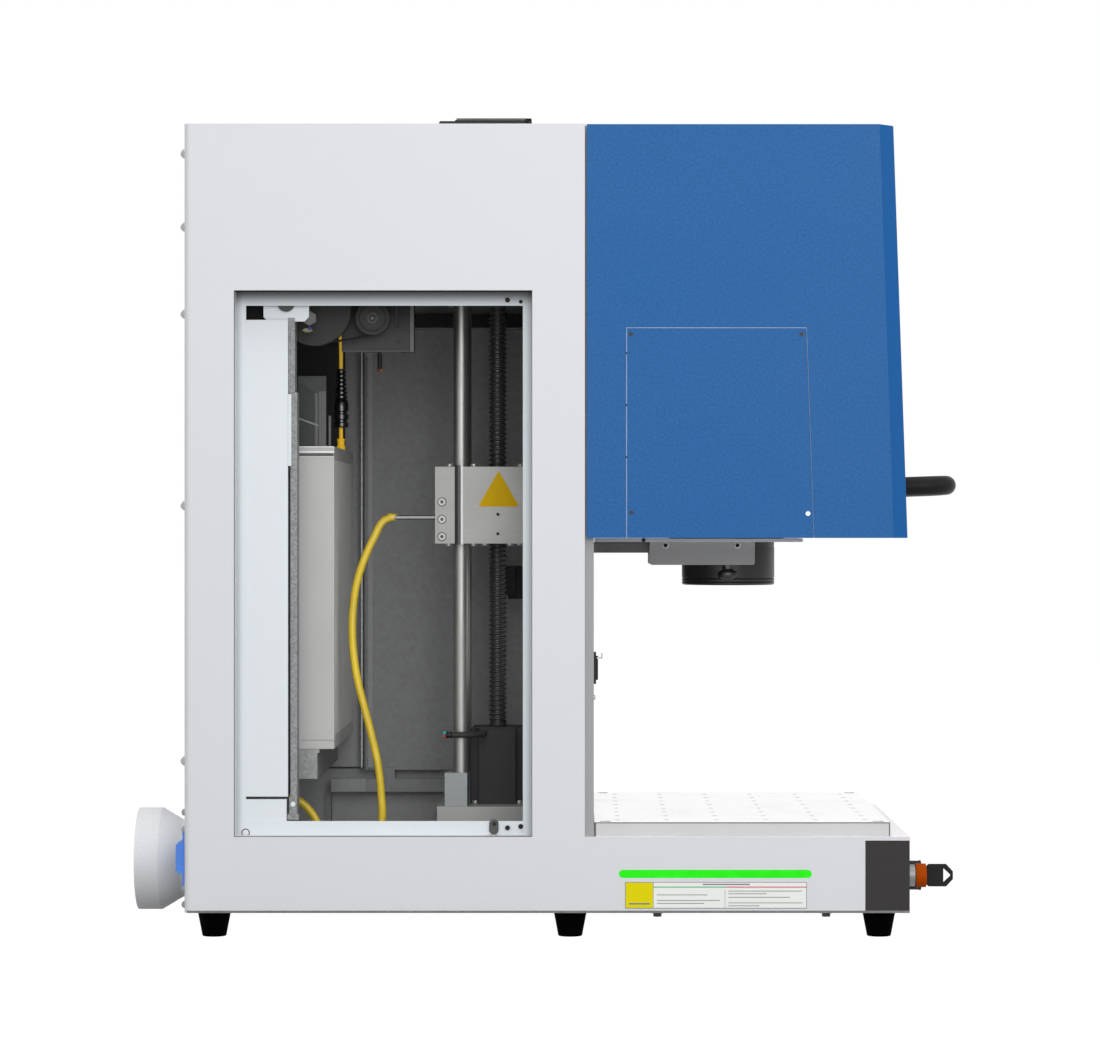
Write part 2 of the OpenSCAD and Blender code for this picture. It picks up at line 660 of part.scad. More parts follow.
// Two ground rods that the head runs on
module guide_rods() color("#e2e2e2") for (s = [-1, 1])
    rod_along_z([rod_x, s * rod_gap / 2, plate_top], rod_d / 2, top_plate_z - plate_top);

// Split clamps that hold the rods, lower and upper
support_h = 34.8;
top_support_h = 26;
module rod_clamp(y, z, h) difference() {
    block([rod_x - 17, y - 12, z], [rod_x + 6.7, y + 12, z + h]);
    rod_along_z([rod_x, y, z - 1], rod_d / 2 + run_fit, h + 2);
}
module rod_supports() color("#8f9396") for (s = [-1, 1]) {
    rod_clamp(s * rod_gap / 2, plate_top, s < 0 ? support_h : support_h - 5);
    rod_clamp(s * rod_gap / 2, top_plate_z - top_support_h, top_support_h);
}

module z_plates() color("#8a8a8a") {
    block([x_back + 246.8, -62, plate_top - z_plate_t], [x_back + 345, 62, plate_top]);
    difference() {
        block([x_back + 246.8, -62, top_plate_z], [x_col - 16, 62, shelf_z]);
        rod_along_z([screw_x, 0, top_plate_z - 1], journal_r + run_fit, 10);
    }
}

// Stepper motor that stands on the base plate
module z_motor() color("#363636") difference() {
    union() {
        translate([screw_x, 0, plate_top]) linear_extrude(motor_h) stepped(motor_w, 9.2);
        translate([screw_x, 0, plate_top + motor_h - 1]) linear_extrude(2.8) stepped(motor_w - 5, 7);
        tube(smooth([for (p = lead_points) [screw_x + p[0], p[1], plate_top + motor_h - 4.3]], 2), 3.1, 10);
    }
    rod_along_z([screw_x, 0, plate_top + motor_h - 14], journal_r + run_fit, 30);
}
// Square section with a notch at each corner for its screw
module stepped(w, c) {
    square([w, w - 2 * c], center = true);
    square([w - 2 * c, w], center = true);
}
// The motor's lead, out of its front and round the rod
lead_points = [[-14, -24], [-14, -40], [-17, -52], [-27, -59], [-42, -60.5], [-53, -60.5]];

screw_z0 = plate_top + motor_h + 2;
module lead_screw() color("#2b2b2b") {
    rod_along_z([screw_x, 0, screw_z0], screw_d / 2, top_plate_z - 1 - screw_z0);
    rod_along_z([screw_x, 0, screw_z0 - 15], journal_r, top_plate_z + 7 - screw_z0 + 15);
}

// Switch at the lower end of the head's travel, and the hood's switch on the front wall
switch_z = 253.7;
module switches() color("#101010") {
    limit_switch();
    block([x_wall, near_y + 30, switch_z], [x_wall + 2.4, near_y + 46, switch_z + 32]);
    difference() {
        block([x_wall + 2, near_y + 33, switch_z + 4], [x_wall + 4.4, near_y + 43, switch_z + 28]);
        rod_along_y([x_wall + 4.4, near_y + 30, switch_z + 26], 1.2, 20);
    }
}
// Wire lever of the hood's switch
module switch_lever() color("#8a8a8a") {
    rod_along_y([x_wall + 4.4, near_y + 34, switch_z + 26], 0.8, 8);
    rod_along_x([x_wall + 4.4, near_y + 38, switch_z + 26], 0.6, 4.5);
    rod_along_z([x_wall + 8.3, near_y + 38, switch_z + 25.9], 0.5, 5.1);
}
module limit_switch() {
    block([x_back + 299, 76, 338], [x_back + 326, 92, 370]);
    block([x_back + 318, 92, 334], [x_wall - sheet, 94.5, 370]);
    block([x_wall - sheet - 2, 92, 334], [x_wall - sheet, 112, 370]);
}

// Carriage block: clamp slits at both ends, bores for bearings and nut
module carriage() color("#a3a3a1") difference() {
    z1 = carriage_z + carriage_h;
    block([carriage_x0, -carriage_w / 2, carriage_z], [carriage_x1, carriage_w / 2, z1]);
    for (s = [-1, 1]) {
        y0 = s > 0 ? carriage_w / 2 - 7 : -carriage_w / 2 - 1;
        block([carriage_x0 + 20.4, y0, carriage_z - 1], [carriage_x0 + 29, y0 + 8, z1 + 1]);
        block([carriage_x0 + 20.4, s * (carriage_w / 2 - 8) - 5, carriage_z - 1],
            [carriage_x0 + 29, s * (carriage_w / 2 - 8) + 5, z1 + 1]);
        rod_along_z([rod_x, s * rod_gap / 2, carriage_z - 1], bearing_d / 2 + 0.02, carriage_h + 2);
    }
    rod_along_z([screw_x, 0, carriage_z - 1], nut_d / 2 + 0.02, carriage_h + 2);
    for (z = [7.2, 25.2, 43.3]) {
        rod_along_y([carriage_x0 + 7.3, -carriage_w / 2 - 1, carriage_z + z], 4.2, 6);
        rod_along_y([carriage_x0 + 7.3, -carriage_w / 2 - 1, carriage_z + z], 2, 14);
    }
    for (z = [10.2, 30.1]) rod_along_y([screw_x + 2, -carriage_w / 2 - 1, carriage_z + z], 1.4, 12);
    rod_along_x([carriage_x0 - 1, -60, 422], 2.5 + 0.02, 13);
}

module linear_bearings() color("#b9b9b9")
    for (s = [-1, 1], z = [carriage_z + 1, carriage_z + carriage_h - 1 - bearing_len])
        difference() {
            rod_along_z([rod_x, s * rod_gap / 2, z], bearing_d / 2, bearing_len);
            rod_along_z([rod_x, s * rod_gap / 2, z - 1], rod_d / 2 + run_fit, bearing_len + 2);
        }
module screw_nut() color("#b08d57") difference() {
    rod_along_z([screw_x, 0, carriage_z + 10], nut_d / 2, carriage_h - 10);
    rod_along_z([screw_x, 0, carriage_z - 1], screw_d / 2 + run_fit, carriage_h + 10);
}

// Steel tube that leads the fibre into the carriage
module fibre_tube() color("#c4c6c8") difference() {
    rod_along_x([x_back + 199.4, -60, 422], 2.5, carriage_x0 + 12 - x_back - 199.4);
    rod_along_x([x_back + 199, -60, 422], 1.6, 60);
}

// Bracket that carries the head through the front wall
module head_arm() color("#494949") {
    block([carriage_x1, -42, carriage_z], [carriage_x1 + 12, 42, carriage_z + carriage_h - 6]);
    block([carriage_x1, -42, arm_z], [x_back + 468.4, 42, arm_z + arm_t]);
    for (s = [-1, 1]) block([carriage_x1, s > 0 ? 36 : -42, arm_z],
        [carriage_x1 + 40, s > 0 ? 42 : -36, 430]);
}

// Plate with rounded front corners over the arm and the galvo bracket
module head_tray() color("#e3e4e6") {
    r = 12;
    x0 = x_back + 411.5;
    x1 = x_back + 629;
    difference() {
        union() {
            block([x0, -tray_w / 2, tray_z], [x1 - r, tray_w / 2, tray_z + tray_t]);
            block([x1 - r - 1, -tray_w / 2 + r, tray_z], [x1, tray_w / 2 - r, tray_z + tray_t]);
            for (s = [-1, 1]) rod_along_z([x1 - r, s * (tray_w / 2 - r), tray_z], r, tray_t);
        }
        rod_along_z([lens_x, 0, tray_z - 1], 36, tray_t + 2);
    }
}

// Scanner head on the tray with its collimator and steel fibre tube
module galvo_head() color("#2e3134") {
    z0 = tray_z + tray_t;
    block([lens_x - 62, -50, z0], [lens_x + 56, 50, z0 + 86]);
    rod_along_x([x_wall + 2, 0, z0 + 38], 17, lens_x - 62 - x_wall - 2 + 1);
    for (i = [0 : 6]) block([lens_x + 55, -44 + i * 14, z0 + 10], [lens_x + 59, -38 + i * 14, z0 + 76]);
}

module galvo_bracket() color("#737373") {
    z1 = tray_z;
    x0 = x_back + 469;
    x1 = x_back + 578.7;
    r = 2.4;
    for (s = [-1, 1]) difference() {
        xz_plate(s > 0 ? 53 : -56, 3) {
            translate([x0 + r, 372.4]) square([x1 - x0 - 2 * r, z1 - 372.4]);
            translate([x0, 372.4 + r]) square([x1 - x0, z1 - 372.4 - r]);
            for (x = [x0 + r, x1 - r]) translate([x, 372.4 + r]) circle(r = r, $fn = fs);
        }
        for (x = [16.5, 91.6]) rod_along_y([x0 + x, s * 56 - 4, z1 - 3.5], 1.7, 8);
    }
    difference() {
        block([x0, -56, z1 - 3], [x1, 56, z1]);
        rod_along_z([lens_x, 0, z1 - 5], lens_d / 2 - 3, 10);
    }
}

// Lens barrel with its stepped rings and its glass
module scan_lens() color("#161616") {
    r = lens_d / 2;
    barrel_h = tray_z - lens_z;
    translate([lens_x, 0, lens_z]) rotate_extrude($fn = 96) polygon([[0, 4], [r - 9, 4], [r - 7, 0],
        [r - 1.5, 0], [r, 1.5], [r, 3], [r - 1, 3.5], [r, 4], [r, 6.4], [r - 1, 7], [r, 7.6],
        [r, barrel_h - 6], [r - 4, barrel_h - 5.4], [r - 4, barrel_h], [0, barrel_h]]);
}

// Outline of a hood side in X and Z, to the chamfer's back edge
function hood_edge(z) = hood_front_z - (z - hood_z) * lean; // front face at a height
function side_edge(z) = hood_edge(z) - hood_chamfer / cos(hood_lean) - 0.02;
acc_x0 = hood_x + access_back;
acc_z1 = hood_z + access_h;
module access_outline(gap) {
    polygon([[acc_x0 + gap, hood_z - (gap > 0 ? 0 : 1)],
        [acc_x0 + access_len + access_h * lean - gap, hood_z - (gap > 0 ? 0 : 1)],
        [acc_x0 + access_len - gap, acc_z1 - gap], [acc_x0 + gap, acc_z1 - gap]]);
}
module hood_side(y) {
    xz_plate(y, sheet) difference() {
        polygon([[hood_x, hood_z], [side_edge(hood_z), hood_z],
            [side_edge(hood_top_z), hood_top_z], [hood_x, hood_top_z]]);
        access_outline(0);
    }
    // lips behind the panel's edges, and the returns along the back and the foot
    inner = y < 0 ? y + sheet : y - 1.5;
    xz_plate(inner, 1.5) difference() {
        polygon([[acc_x0 - 9, hood_z + 1], [acc_x0 + access_len + access_h * lean + 9, hood_z + 1],
            [acc_x0 + access_len + 9, acc_z1 + 9], [acc_x0 - 9, acc_z1 + 9]]);
        polygon([[acc_x0 + 11, hood_z - 5], [acc_x0 + access_len + access_h * lean - 11, hood_z - 5],
            [acc_x0 + access_len - 11, acc_z1 - 11], [acc_x0 + 11, acc_z1 - 11]]);
        hood_screw_places() circle(r = 2.2, $fn = 32);
    }
    r0 = y < 0 ? y + sheet - 0.5 : y - side_return;
    block([hood_x, r0, hood_z], [hood_x + sheet, r0 + side_return + 0.5, hood_top_z - sheet]);
}
// Corners of the access panel that take a screw, the last one left empty
module hood_screw_places(last = true) {
    translate([acc_x0 + 4.6, acc_z1 - 6.6]) children();
    translate([acc_x0 + access_len - 5.4, acc_z1 - 6.6]) children();
    translate([acc_x0 + 4.8, hood_z + 25.5]) children();
    if (last) translate([acc_x0 + access_len + 1, hood_z + 24.5]) children();
}
module hood_sides() color("#3369a6") {
    hood_side(near_y);
    hood_side(far_y - sheet);
}

module hood_access_panels() color("#3369a6") for (y = [near_y, far_y - sheet])
    xz_plate(y, sheet) difference() {
        access_outline(seam);
        hood_screw_places() circle(r = 2.2, $fn = 32);
    }

// Black screws flush in the access panels, and the white nut behind the empty hole
module hood_screws() color("#151515") for (s = [-1, 1]) mirror([0, s > 0 ? 1 : 0, 0])
    xz_plate(near_y - 0.2, 6) hood_screw_places(false) circle(r = 2.15, $fn = 32);

// Folded front of the hood: chamfered corners, side tabs and a window opening
win_w = 240;
win_h = 190;
win_z = 205; // middle of the window above the hood's lower edge
module hood_shape(h) {
    translate([hood_front_z, 0, hood_z]) rotate([0, -hood_lean, 0]) translate([0, 0, -40])
        linear_extrude(h) children();
}
module hood_front() color("#2f66a8") {
    t = sheet;
    c = hood_chamfer;
    w = body_w / 2;
    k = c * 1.1; // chamfer's width across Y
    intersection() {
        hood_shape(hood_h + 90) difference() {
            polygon([[-c, -w], [0, -w + k], [0, w - k], [-c, w], [-c - 14, w - t], [-c - 14, w - t - 1.5],
                [-c, w - t - 1.5], [-t, w - k - 1], [-t, -w + k + 1], [-c, -w + t + 1.5],
                [-c - 14, -w + t + 1.5], [-c - 14, -w + t], [-c + 0, -w + t]]);
            translate([-c - 20, w - t]) square([20, 10]);
            translate([-c - 20, -w + t - 10]) square([20, 10]);
        }
        difference() {
            block([hood_x, near_y - 1, hood_z], [hood_front_z + 10, far_y + 1, hood_top_z]);
            translate([hood_edge(hood_z + win_z), 0, hood_z + win_z]) rotate([0, -hood_lean, 0])
                block([-30, -win_w / 2, -win_h / 2], [30, win_w / 2, win_h / 2]);
            for (s = [-1, 1]) translate([hood_edge(hood_z + handle_h), s * handle_w / 2, hood_z + handle_h])
                rotate([0, 90 - hood_lean, 0]) translate([0, 0, -20])
                    cylinder(h = 40, r = 4 + hole_fit, $fn = 32);
        }
    }
}

// Top of the hood, tucked between its sides
module hood_top() color("#3369a6") {
    x1 = hood_edge(hood_top_z);
    k = hood_chamfer * 1.1;
    translate([0, 0, hood_top_z - sheet]) linear_extrude(sheet - 0.1)
        polygon([[x_wall + 1.5, near_y + sheet + 0.3], [x1 - hood_chamfer - 2, near_y + sheet + 2],
            [x1 - sheet - 0.6, near_y + k + 1.5], [x1 - sheet - 0.6, far_y - k - 1.5],
            [x1 - hood_chamfer - 2, far_y - sheet - 2], [x_wall + 1.5, far_y - sheet - 0.3]]);
    translate([0, 0, hood_top_z - 14]) for (s = [-1, 1])
        block([x_wall + 1.5, s > 0 ? far_y - sheet - 1.8 : near_y + sheet + 0.3, 0],
            [x1 - 60, s > 0 ? far_y - sheet - 0.3 : near_y + sheet + 1.8, 13]);
}

// Tinted window, held behind the front by its own flanged edge
module hood_window() color([0.25, 0.1, 0.02, 0.8])
    translate([hood_edge(hood_z + win_z) - sheet - 3.2, 0, hood_z + win_z]) rotate([0, -hood_lean, 0])
        block([0, -win_w / 2 - 10, -win_h / 2 - 10], [3, win_w / 2 + 10, win_h / 2 + 10]);

// Bow handle of round bar, square to the hood's front
module hood_handle() color("#222222")
    translate([hood_edge(hood_z + handle_h), 0, hood_z + handle_h]) rotate([0, -hood_lean, 0]) {
        r = handle_d / 2;
        bend = 24;
        for (s = [-1, 1]) {
            rod_along_x([0, s * handle_w / 2, 0], r, handle_out - r - bend);
            translate([handle_out - r - bend, s * (handle_w / 2 - bend), 0]) mirror([0, s > 0 ? 0 : 1, 0])
                rotate_extrude(angle = 90, $fn = fs) translate([bend, 0]) circle(r = r, $fn = fs);
            rod_along_x([-12, s * handle_w / 2, 0], 4, 14);
            rod_along_x([-sheet - 4.4, s * handle_w / 2, 0], 7, 4);
        }
        rod_along_y([handle_out - r, -handle_w / 2 + bend, 0], r, handle_w - 2 * bend);
    }

// Brackets that reach through the front wall to the hood's rails
module hood_brackets() color("#7c7f82") for (s = [-1, 1]) mirror([0, s > 0 ? 0 : 1, 0]) {
    x1 = hood_x + 24;
    block([x_wall - 25, tongue_y - 3, tongue_z0], [x1, tongue_y + 3, tongue_z1]);
    block([x1 - 3, tongue_y - 3, tongue_z0], [x1, far_y - sheet - 0.3, tongue_z1]);
    block([x1 - 3, far_y - sheet - 3.3, tongue_z0], [x1 + 5, far_y - sheet - 0.3, tongue_z1]);
    for (z = [tongue_z0 + 4, tongue_z1 - 64]) difference() {
        block([x_wall - 25, tongue_y + 2, z], [x_wall - sheet - 2, rail_y + 15, z + 60]);
        block([x_wall - sheet - rail_h - 0.3, rail_y - rail_w / 2 - 0.3, z - 1],
            [x_wall, rail_y + rail_w / 2 + 0.3, z + 61]);
    }
}
module hood_rails() color("#c8cacc") for (s = [-1, 1])
    block([x_wall - sheet - rail_h, s * rail_y - rail_w / 2, tongue_z0 - hood_travel - 30],
        [x_wall - sheet, s * rail_y + rail_w / 2, tongue_z1 + 20]);

// Stop button: grey bezel is part of the panel's fittings, the red cap moves
stop_cap_x = 5.3 + stop_travel; // how far the cap's rim stands out
bezel_r = 10.9;
module stop_button() color("#c8460a") {
    difference() {
        rod_along_x([x_front + stop_cap_x, stop_y, stop_z], 12, 10.8);
        rod_along_x([x_front + stop_cap_x - 1, stop_y, stop_z], bezel_r + hole_fit, stop_travel + 1.4);
    }
    rod_along_x([x_front - 12, stop_y, stop_z], 5.5, 12 + stop_cap_x + stop_travel + 2);
}
module key_switch() color("#333333") {
    rod_along_x([x_front - 14, key_y, key_z], 6, 14 + 22);
    translate([x_front + 24, key_y, key_z]) rotate([90, 0, 0]) translate([0, 0, -1.4]) linear_extrude(2.8)
        difference() {
            polygon([[-4, -3], [0, -3], [0, -9.5], [2, -11.5], [20, -11.5], [27, -4], [27, 4],
                [20, 11.5], [2, 11.5], [0, 9.5], [0, 3], [-4, 3]]);
            polygon([[17.2, -7.1], [17.2, 7.1], [24.2, 0.6], [24.2, -0.6]]);
        }
}

// Fixed bezels of the two controls
module control_bezels() {
    color("#80827f") difference() {
        union() {
            rod_along_x([x_front, stop_y, stop_z], bezel_r, stop_cap_x - 0.3);
            rod_along_x([x_front - 18, stop_y, stop_z], 8, 19);
        }
        rod_along_x([x_front - 20, stop_y, stop_z], 5.5 + run_fit, 40);
    }
    color("#15110f") difference() {
        union() {
            rod_along_x([x_front, key_y, key_z], 14.7, 16, 12.5);
            rod_along_x([x_front - 18, key_y, key_z], 9.5, 19);
        }
        rod_along_x([x_front - 20, key_y, key_z], 6 + run_fit, 50);
    }
}

// Mains inlet: black plate, blue body and its screws
inlet_y = near_y + 21;
inlet_z = 80.2;
module inlet_hole() {
    block([x_back - 1, inlet_y - 8, inlet_z - 12], [x_back + 10, inlet_y + 8, inlet_z + 12]);
}
module mains_inlet() {
    color("#151515") difference() {
        block([x_back - 2.4, inlet_y - 13, inlet_z - 30], [x_back, inlet_y + 13, inlet_z + 30]);
        block([x_back - 5, inlet_y - 8, inlet_z - 12], [x_back + 1, inlet_y + 8, inlet_z + 12]);
    }
    color("#5786cd") difference() {
        union() {
            block([x_back - 9.2, inlet_y - 13, inlet_z - 16], [x_back - 2.4, inlet_y + 13, inlet_z + 16]);
            block([x_back - 3, inlet_y - 8 + hole_fit, inlet_z - 12 + hole_fit],
                [x_back + 20, inlet_y + 8 - hole_fit, inlet_z + 12 - hole_fit]);
        }
        block([x_back - 12, inlet_y - 8, inlet_z - 9], [x_back - 1, inlet_y + 8, inlet_z + 9]);
        for (s = [-1, 1]) block([x_back - 10, inlet_y - 20, inlet_z + (s > 0 ? 13.5 : -18)],
            [x_back - 7, inlet_y + 20, inlet_z + (s > 0 ? 18 : -13.5)]);
    }
}

// Sheet duct: neck through the back wall, flared cone and the hose collar
module exhaust_duct() color("#d9dbdf") translate([x_back + 2 * sheet, duct_y, duct_z]) rotate([0, -90, 0])
    rotate_extrude($fn = 96) {
        n = neck_d / 2;
        c = duct_d / 2;
        w = duct_wall;
        z0 = 2 * sheet + 10;
        z2 = duct_out + 2 * sheet;
        z1 = z2 - collar_len;
        polygon([[n - w, 0], [n, 0], [n, z0], [c, z1], [c, z2], [c - w, z2], [c - w, z1 + 0.6],
            [n - w, z0 + 0.6]]);
    }

// Axial fan inside the back wall
module fan_frame() color("#1a1a1a") {
    x0 = x_back + 2 * sheet;
    difference() {
        block([x0, duct_y - fan_w / 2, duct_z - fan_w / 2],
            [x0 + 25, duct_y + fan_w / 2, duct_z + fan_w / 2]);
        rod_along_x([x0 - 1, duct_y, duct_z], fan_r, 30);
    }
    difference() {
        union() {
            rod_along_x([x0 + 20.5, duct_y, duct_z], 17, 4);
            for (a = [45 : 90 : 315]) translate([x0 + 21, duct_y, duct_z]) rotate([a, 0, 0])
                block([0, -2, 10], [3, 2, fan_r + 1.5]);
        }
        rod_along_x([x0 + 10, duct_y, duct_z], 2 + run_fit, 20);
    }
}
module fan_rotor() color("#202020") translate([x_back + 2 * sheet, duct_y, duct_z]) {
    rod_along_x([3, 0, 0], hub_r, 16);
    rod_along_x([10, 0, 0], 2, 15);
    for (a = [0 : 360 / 7 : 359]) rotate([a, 0, 0]) translate([11, 0, hub_r - 1]) rotate([0, 0, 35])
        block([-7, -1, 0], [7, 1, fan_r - hub_r - 1]);
}

// Low frame round the port in the column's top, and its hinged lid
lid_pin_r = 1.5;
lid_x = port_x + 18.5;
module port_frame() color("#2b2b2b") difference() {
    union() {
        translate([0, 0, body_top]) intersection() {
            block([port_x, port_y0, 0], [port_x + port_len, port_y0 + port_w, 3.8]);
            translate([port_x + port_len / 2, port_y0 + port_w / 2, 0]) hull() for (k = [0, 1])
                translate([0, 0, k * 3.8]) linear_extrude(0.01)
                    square([port_len - k * 3, port_w - k * 3], center = true);
        }
        block([port_x + 8.3, port_y0 + 8.3, body_top - 8],
            [port_x + port_len - 8.3, port_y0 + port_w - 8.3, body_top + 1]);
    }
    block([port_x + 12, port_y0 + 12, 0], [port_x + port_len - 12, port_y0 + port_w - 12, big]);
    block([lid_x - 6, port_y0 + 12, body_top + 1.2], [port_x + port_len + 1, port_y0 + port_w - 12, big]);
    rod_along_y([lid_x - 2, port_y0 + 6, body_top + 3], lid_pin_r + run_fit, port_w - 12);
}
module port_lid() color("#3f3f3f") {
    block([lid_x - 2, port_y0 + 13, body_top + 4],
        [port_x + port_len + 6, port_y0 + port_w - 13, body_top + 6.3]);
    rod_along_y([lid_x - 2, port_y0 + 6.5, body_top + 3], lid_pin_r, port_w - 13);
    block([lid_x - 3, port_y0 + 13, body_top + 3], [lid_x, port_y0 + port_w - 13, body_top + 4.5]);
}

// Controller and power supply in one case on the upper shelf
module controller_box() color("#8d9092") difference() {
    z = shelf_z + shelf_t;
    block([x_back + 20, -120, z], [x_back + 230, 180, z + 90]);
    rod_along_z([fibre_x, fibre_y, z - 1], 3, 12.5);
    for (i = [0 : 9]) block([x_back + 229, -100 + i * 26, z + 20], [x_back + 231, -88 + i * 26, z + 70]);
}

near_side();
far_side();
rear_panel();
top_panel();
base_plates();
column_front();
front_panel();
lamp_strip();
side_label();
feet();
frame_bolts();
work_table();
shelves();
partitions();
laser_source();
source_tray();
fibre_connector();
fibre_cable();
fibre_pigtail();
controller_box();
rear_inner_plate();
octagon_plate();
lift_plate();
lift_shaft();
motor_pulley();
lift_belt();
motors();
guide_rods();
rod_supports();
z_plates();
lead_screw();
switches();
switch_lever();
carriage();
linear_bearings();
screw_nut();
fibre_tube();
head_arm();
head_tray();
galvo_head();
galvo_bracket();
scan_lens();
hood_sides();
hood_access_panels();
hood_front();
hood_top();
hood_window();
hood_screws();
hood_handle();
hood_brackets();
hood_rails();
stop_button();
key_switch();
control_bezels();
exhaust_duct();
fan_frame();
fan_rotor();
mains_inlet();
port_frame();
port_lid();
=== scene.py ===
import json
import math
import bpy
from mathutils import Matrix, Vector

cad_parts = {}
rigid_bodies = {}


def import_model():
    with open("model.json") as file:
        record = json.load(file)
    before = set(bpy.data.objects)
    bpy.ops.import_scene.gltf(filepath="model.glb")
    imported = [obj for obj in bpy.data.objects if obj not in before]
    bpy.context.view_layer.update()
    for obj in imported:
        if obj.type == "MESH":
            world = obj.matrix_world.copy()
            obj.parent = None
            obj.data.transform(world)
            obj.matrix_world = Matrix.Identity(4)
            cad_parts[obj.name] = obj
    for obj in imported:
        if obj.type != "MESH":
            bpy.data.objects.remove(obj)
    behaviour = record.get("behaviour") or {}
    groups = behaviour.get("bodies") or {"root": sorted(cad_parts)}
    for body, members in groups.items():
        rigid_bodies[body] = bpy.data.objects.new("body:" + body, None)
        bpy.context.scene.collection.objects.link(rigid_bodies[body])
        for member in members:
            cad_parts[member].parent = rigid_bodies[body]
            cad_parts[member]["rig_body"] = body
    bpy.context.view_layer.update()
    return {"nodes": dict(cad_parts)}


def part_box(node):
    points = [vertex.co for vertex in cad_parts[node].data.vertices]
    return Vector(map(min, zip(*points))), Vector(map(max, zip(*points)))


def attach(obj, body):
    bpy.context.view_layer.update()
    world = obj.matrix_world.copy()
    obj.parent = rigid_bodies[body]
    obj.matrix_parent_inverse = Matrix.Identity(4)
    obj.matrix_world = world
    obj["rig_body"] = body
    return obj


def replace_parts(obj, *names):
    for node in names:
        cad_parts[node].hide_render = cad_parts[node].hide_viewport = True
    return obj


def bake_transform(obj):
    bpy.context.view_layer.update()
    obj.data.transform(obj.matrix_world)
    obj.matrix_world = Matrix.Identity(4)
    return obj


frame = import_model()
back = -0.36697  # back face of the body, along X
print("frame loaded")


# small tools: selection, edit mode, modifiers and paint

def clearSelection():
    for piece in bpy.context.selected_objects:
        piece.select_set(False)


def makeActive(piece):
    clearSelection()
    piece.select_set(True)
    bpy.context.view_layer.objects.active = piece


def newest(name):
    piece = bpy.context.object
    piece.name = name
    return piece


def fixPlace(piece):
    makeActive(piece)
    bpy.ops.object.transform_apply(location=True, rotation=True, scale=True)


def inEditMode(piece, *steps):
    makeActive(piece)
    bpy.ops.object.mode_set(mode="EDIT")
    bpy.ops.mesh.select_all(action="SELECT")
    for step in steps:
        step()
    bpy.ops.object.mode_set(mode="OBJECT")


def weld(reach):
    return lambda: bpy.ops.mesh.remove_doubles(threshold=reach)


def facingOut():
    bpy.ops.mesh.normals_make_consistent(inside=False)


def applyModifier(piece, kind, **values):
    makeActive(piece)
    modifier = piece.modifiers.new(kind.title(), kind)
    for key, value in values.items():
        setattr(modifier, key, value)
    bpy.ops.object.modifier_apply(modifier=modifier.name)


def smooth(piece, angle=35):
    makeActive(piece)
    bpy.ops.object.shade_smooth_by_angle(angle=math.radians(angle))


def evenNormals(piece):
    smooth(piece)
    applyModifier(piece, "WEIGHTED_NORMAL", keep_sharp=True, weight=80, mode="FACE_AREA")


def paint(piece, finishName):
    piece.data.materials.clear()
    piece.data.materials.append(finishes[finishName])


def paintFaces(piece, finishName, test):
    piece.data.materials.append(finishes[finishName])
    index = len(piece.data.materials) - 1
    for face in piece.data.polygons:
        if test(face):
            face.material_index = index


def camelName(nodeName):
    first, *others = nodeName.split("_")
    return first + "".join(word.title() for word in others)


def fromNode(nodeName, finishName, width):
    # a finished copy of a CAD node, its edges rounded
    source = frame["nodes"][nodeName]
    body = source["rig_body"]
    makeActive(source)
    bpy.ops.object.duplicate()
    piece = newest("headPlates" if nodeName == "z_plates" else camelName(nodeName))
    piece.parent = None
    for key in [key for key in piece.keys() if key.startswith("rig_")]:
        del piece[key]
    inEditMode(piece, weld(0.000002), lambda: bpy.ops.mesh.dissolve_limited(angle_limit=math.radians(0.4)))
    if piece.data.has_custom_normals:
        bpy.ops.mesh.customdata_custom_splitnormals_clear()
    if width > 0:
        applyModifier(piece, "BEVEL", width=width, segments=2, limit_method="ANGLE",
                      angle_limit=math.radians(30), use_clamp_overlap=True)
    evenNormals(piece)
    paint(piece, finishName)
    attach(piece, body)
    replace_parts(piece, nodeName)
    return piece


def settle(piece, body, finishName=None):
    fixPlace(piece)
    if finishName:
        paint(piece, finishName)
    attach(piece, body)
    return piece


def joined(name, pieces):
    clearSelection()
    for piece in pieces:
        piece.select_set(True)
    bpy.context.view_layer.objects.active = pieces[0]
    if len(pieces) > 1:
        bpy.ops.object.join()
    pieces[0].name = name
    return pieces[0]


def gathered(name, pieces, finish, body="frame"):
    # joins and settles; the finish is one name, or one for each piece
    if not isinstance(finish, str):
        for piece, own in zip(pieces, finish):
            paint(piece, own)
        finish = None
    return settle(joined(name, pieces), body, finish)


def plate(low, high, width, segments=1):
    low, high = Vector(low), Vector(high)
    clearSelection()
    bpy.ops.mesh.primitive_cube_add(size=1, location=(low + high) / 2)
    piece = newest("plate")
    piece.scale = high - low
    fixPlace(piece)
    inEditMode(piece, lambda: bpy.ops.mesh.bevel(offset=width, segments=segments, affect="EDGES"))
    evenNormals(piece)
    return piece


def plates(name, boxes, finish, body="frame", width=0.0003, segments=1):
    # each box is its low corner, then its high corner
    return gathered(name, [plate(box[:3], box[3:], width, segments) for box in boxes], finish, body)


axisTurns = {"x": (0, math.pi / 2, 0), "y": (-math.pi / 2, 0, 0), "z": (0, 0, 0),
             "-x": (0, -math.pi / 2, 0), "-y": (math.pi / 2, 0, 0), "-z": (math.pi, 0, 0)}


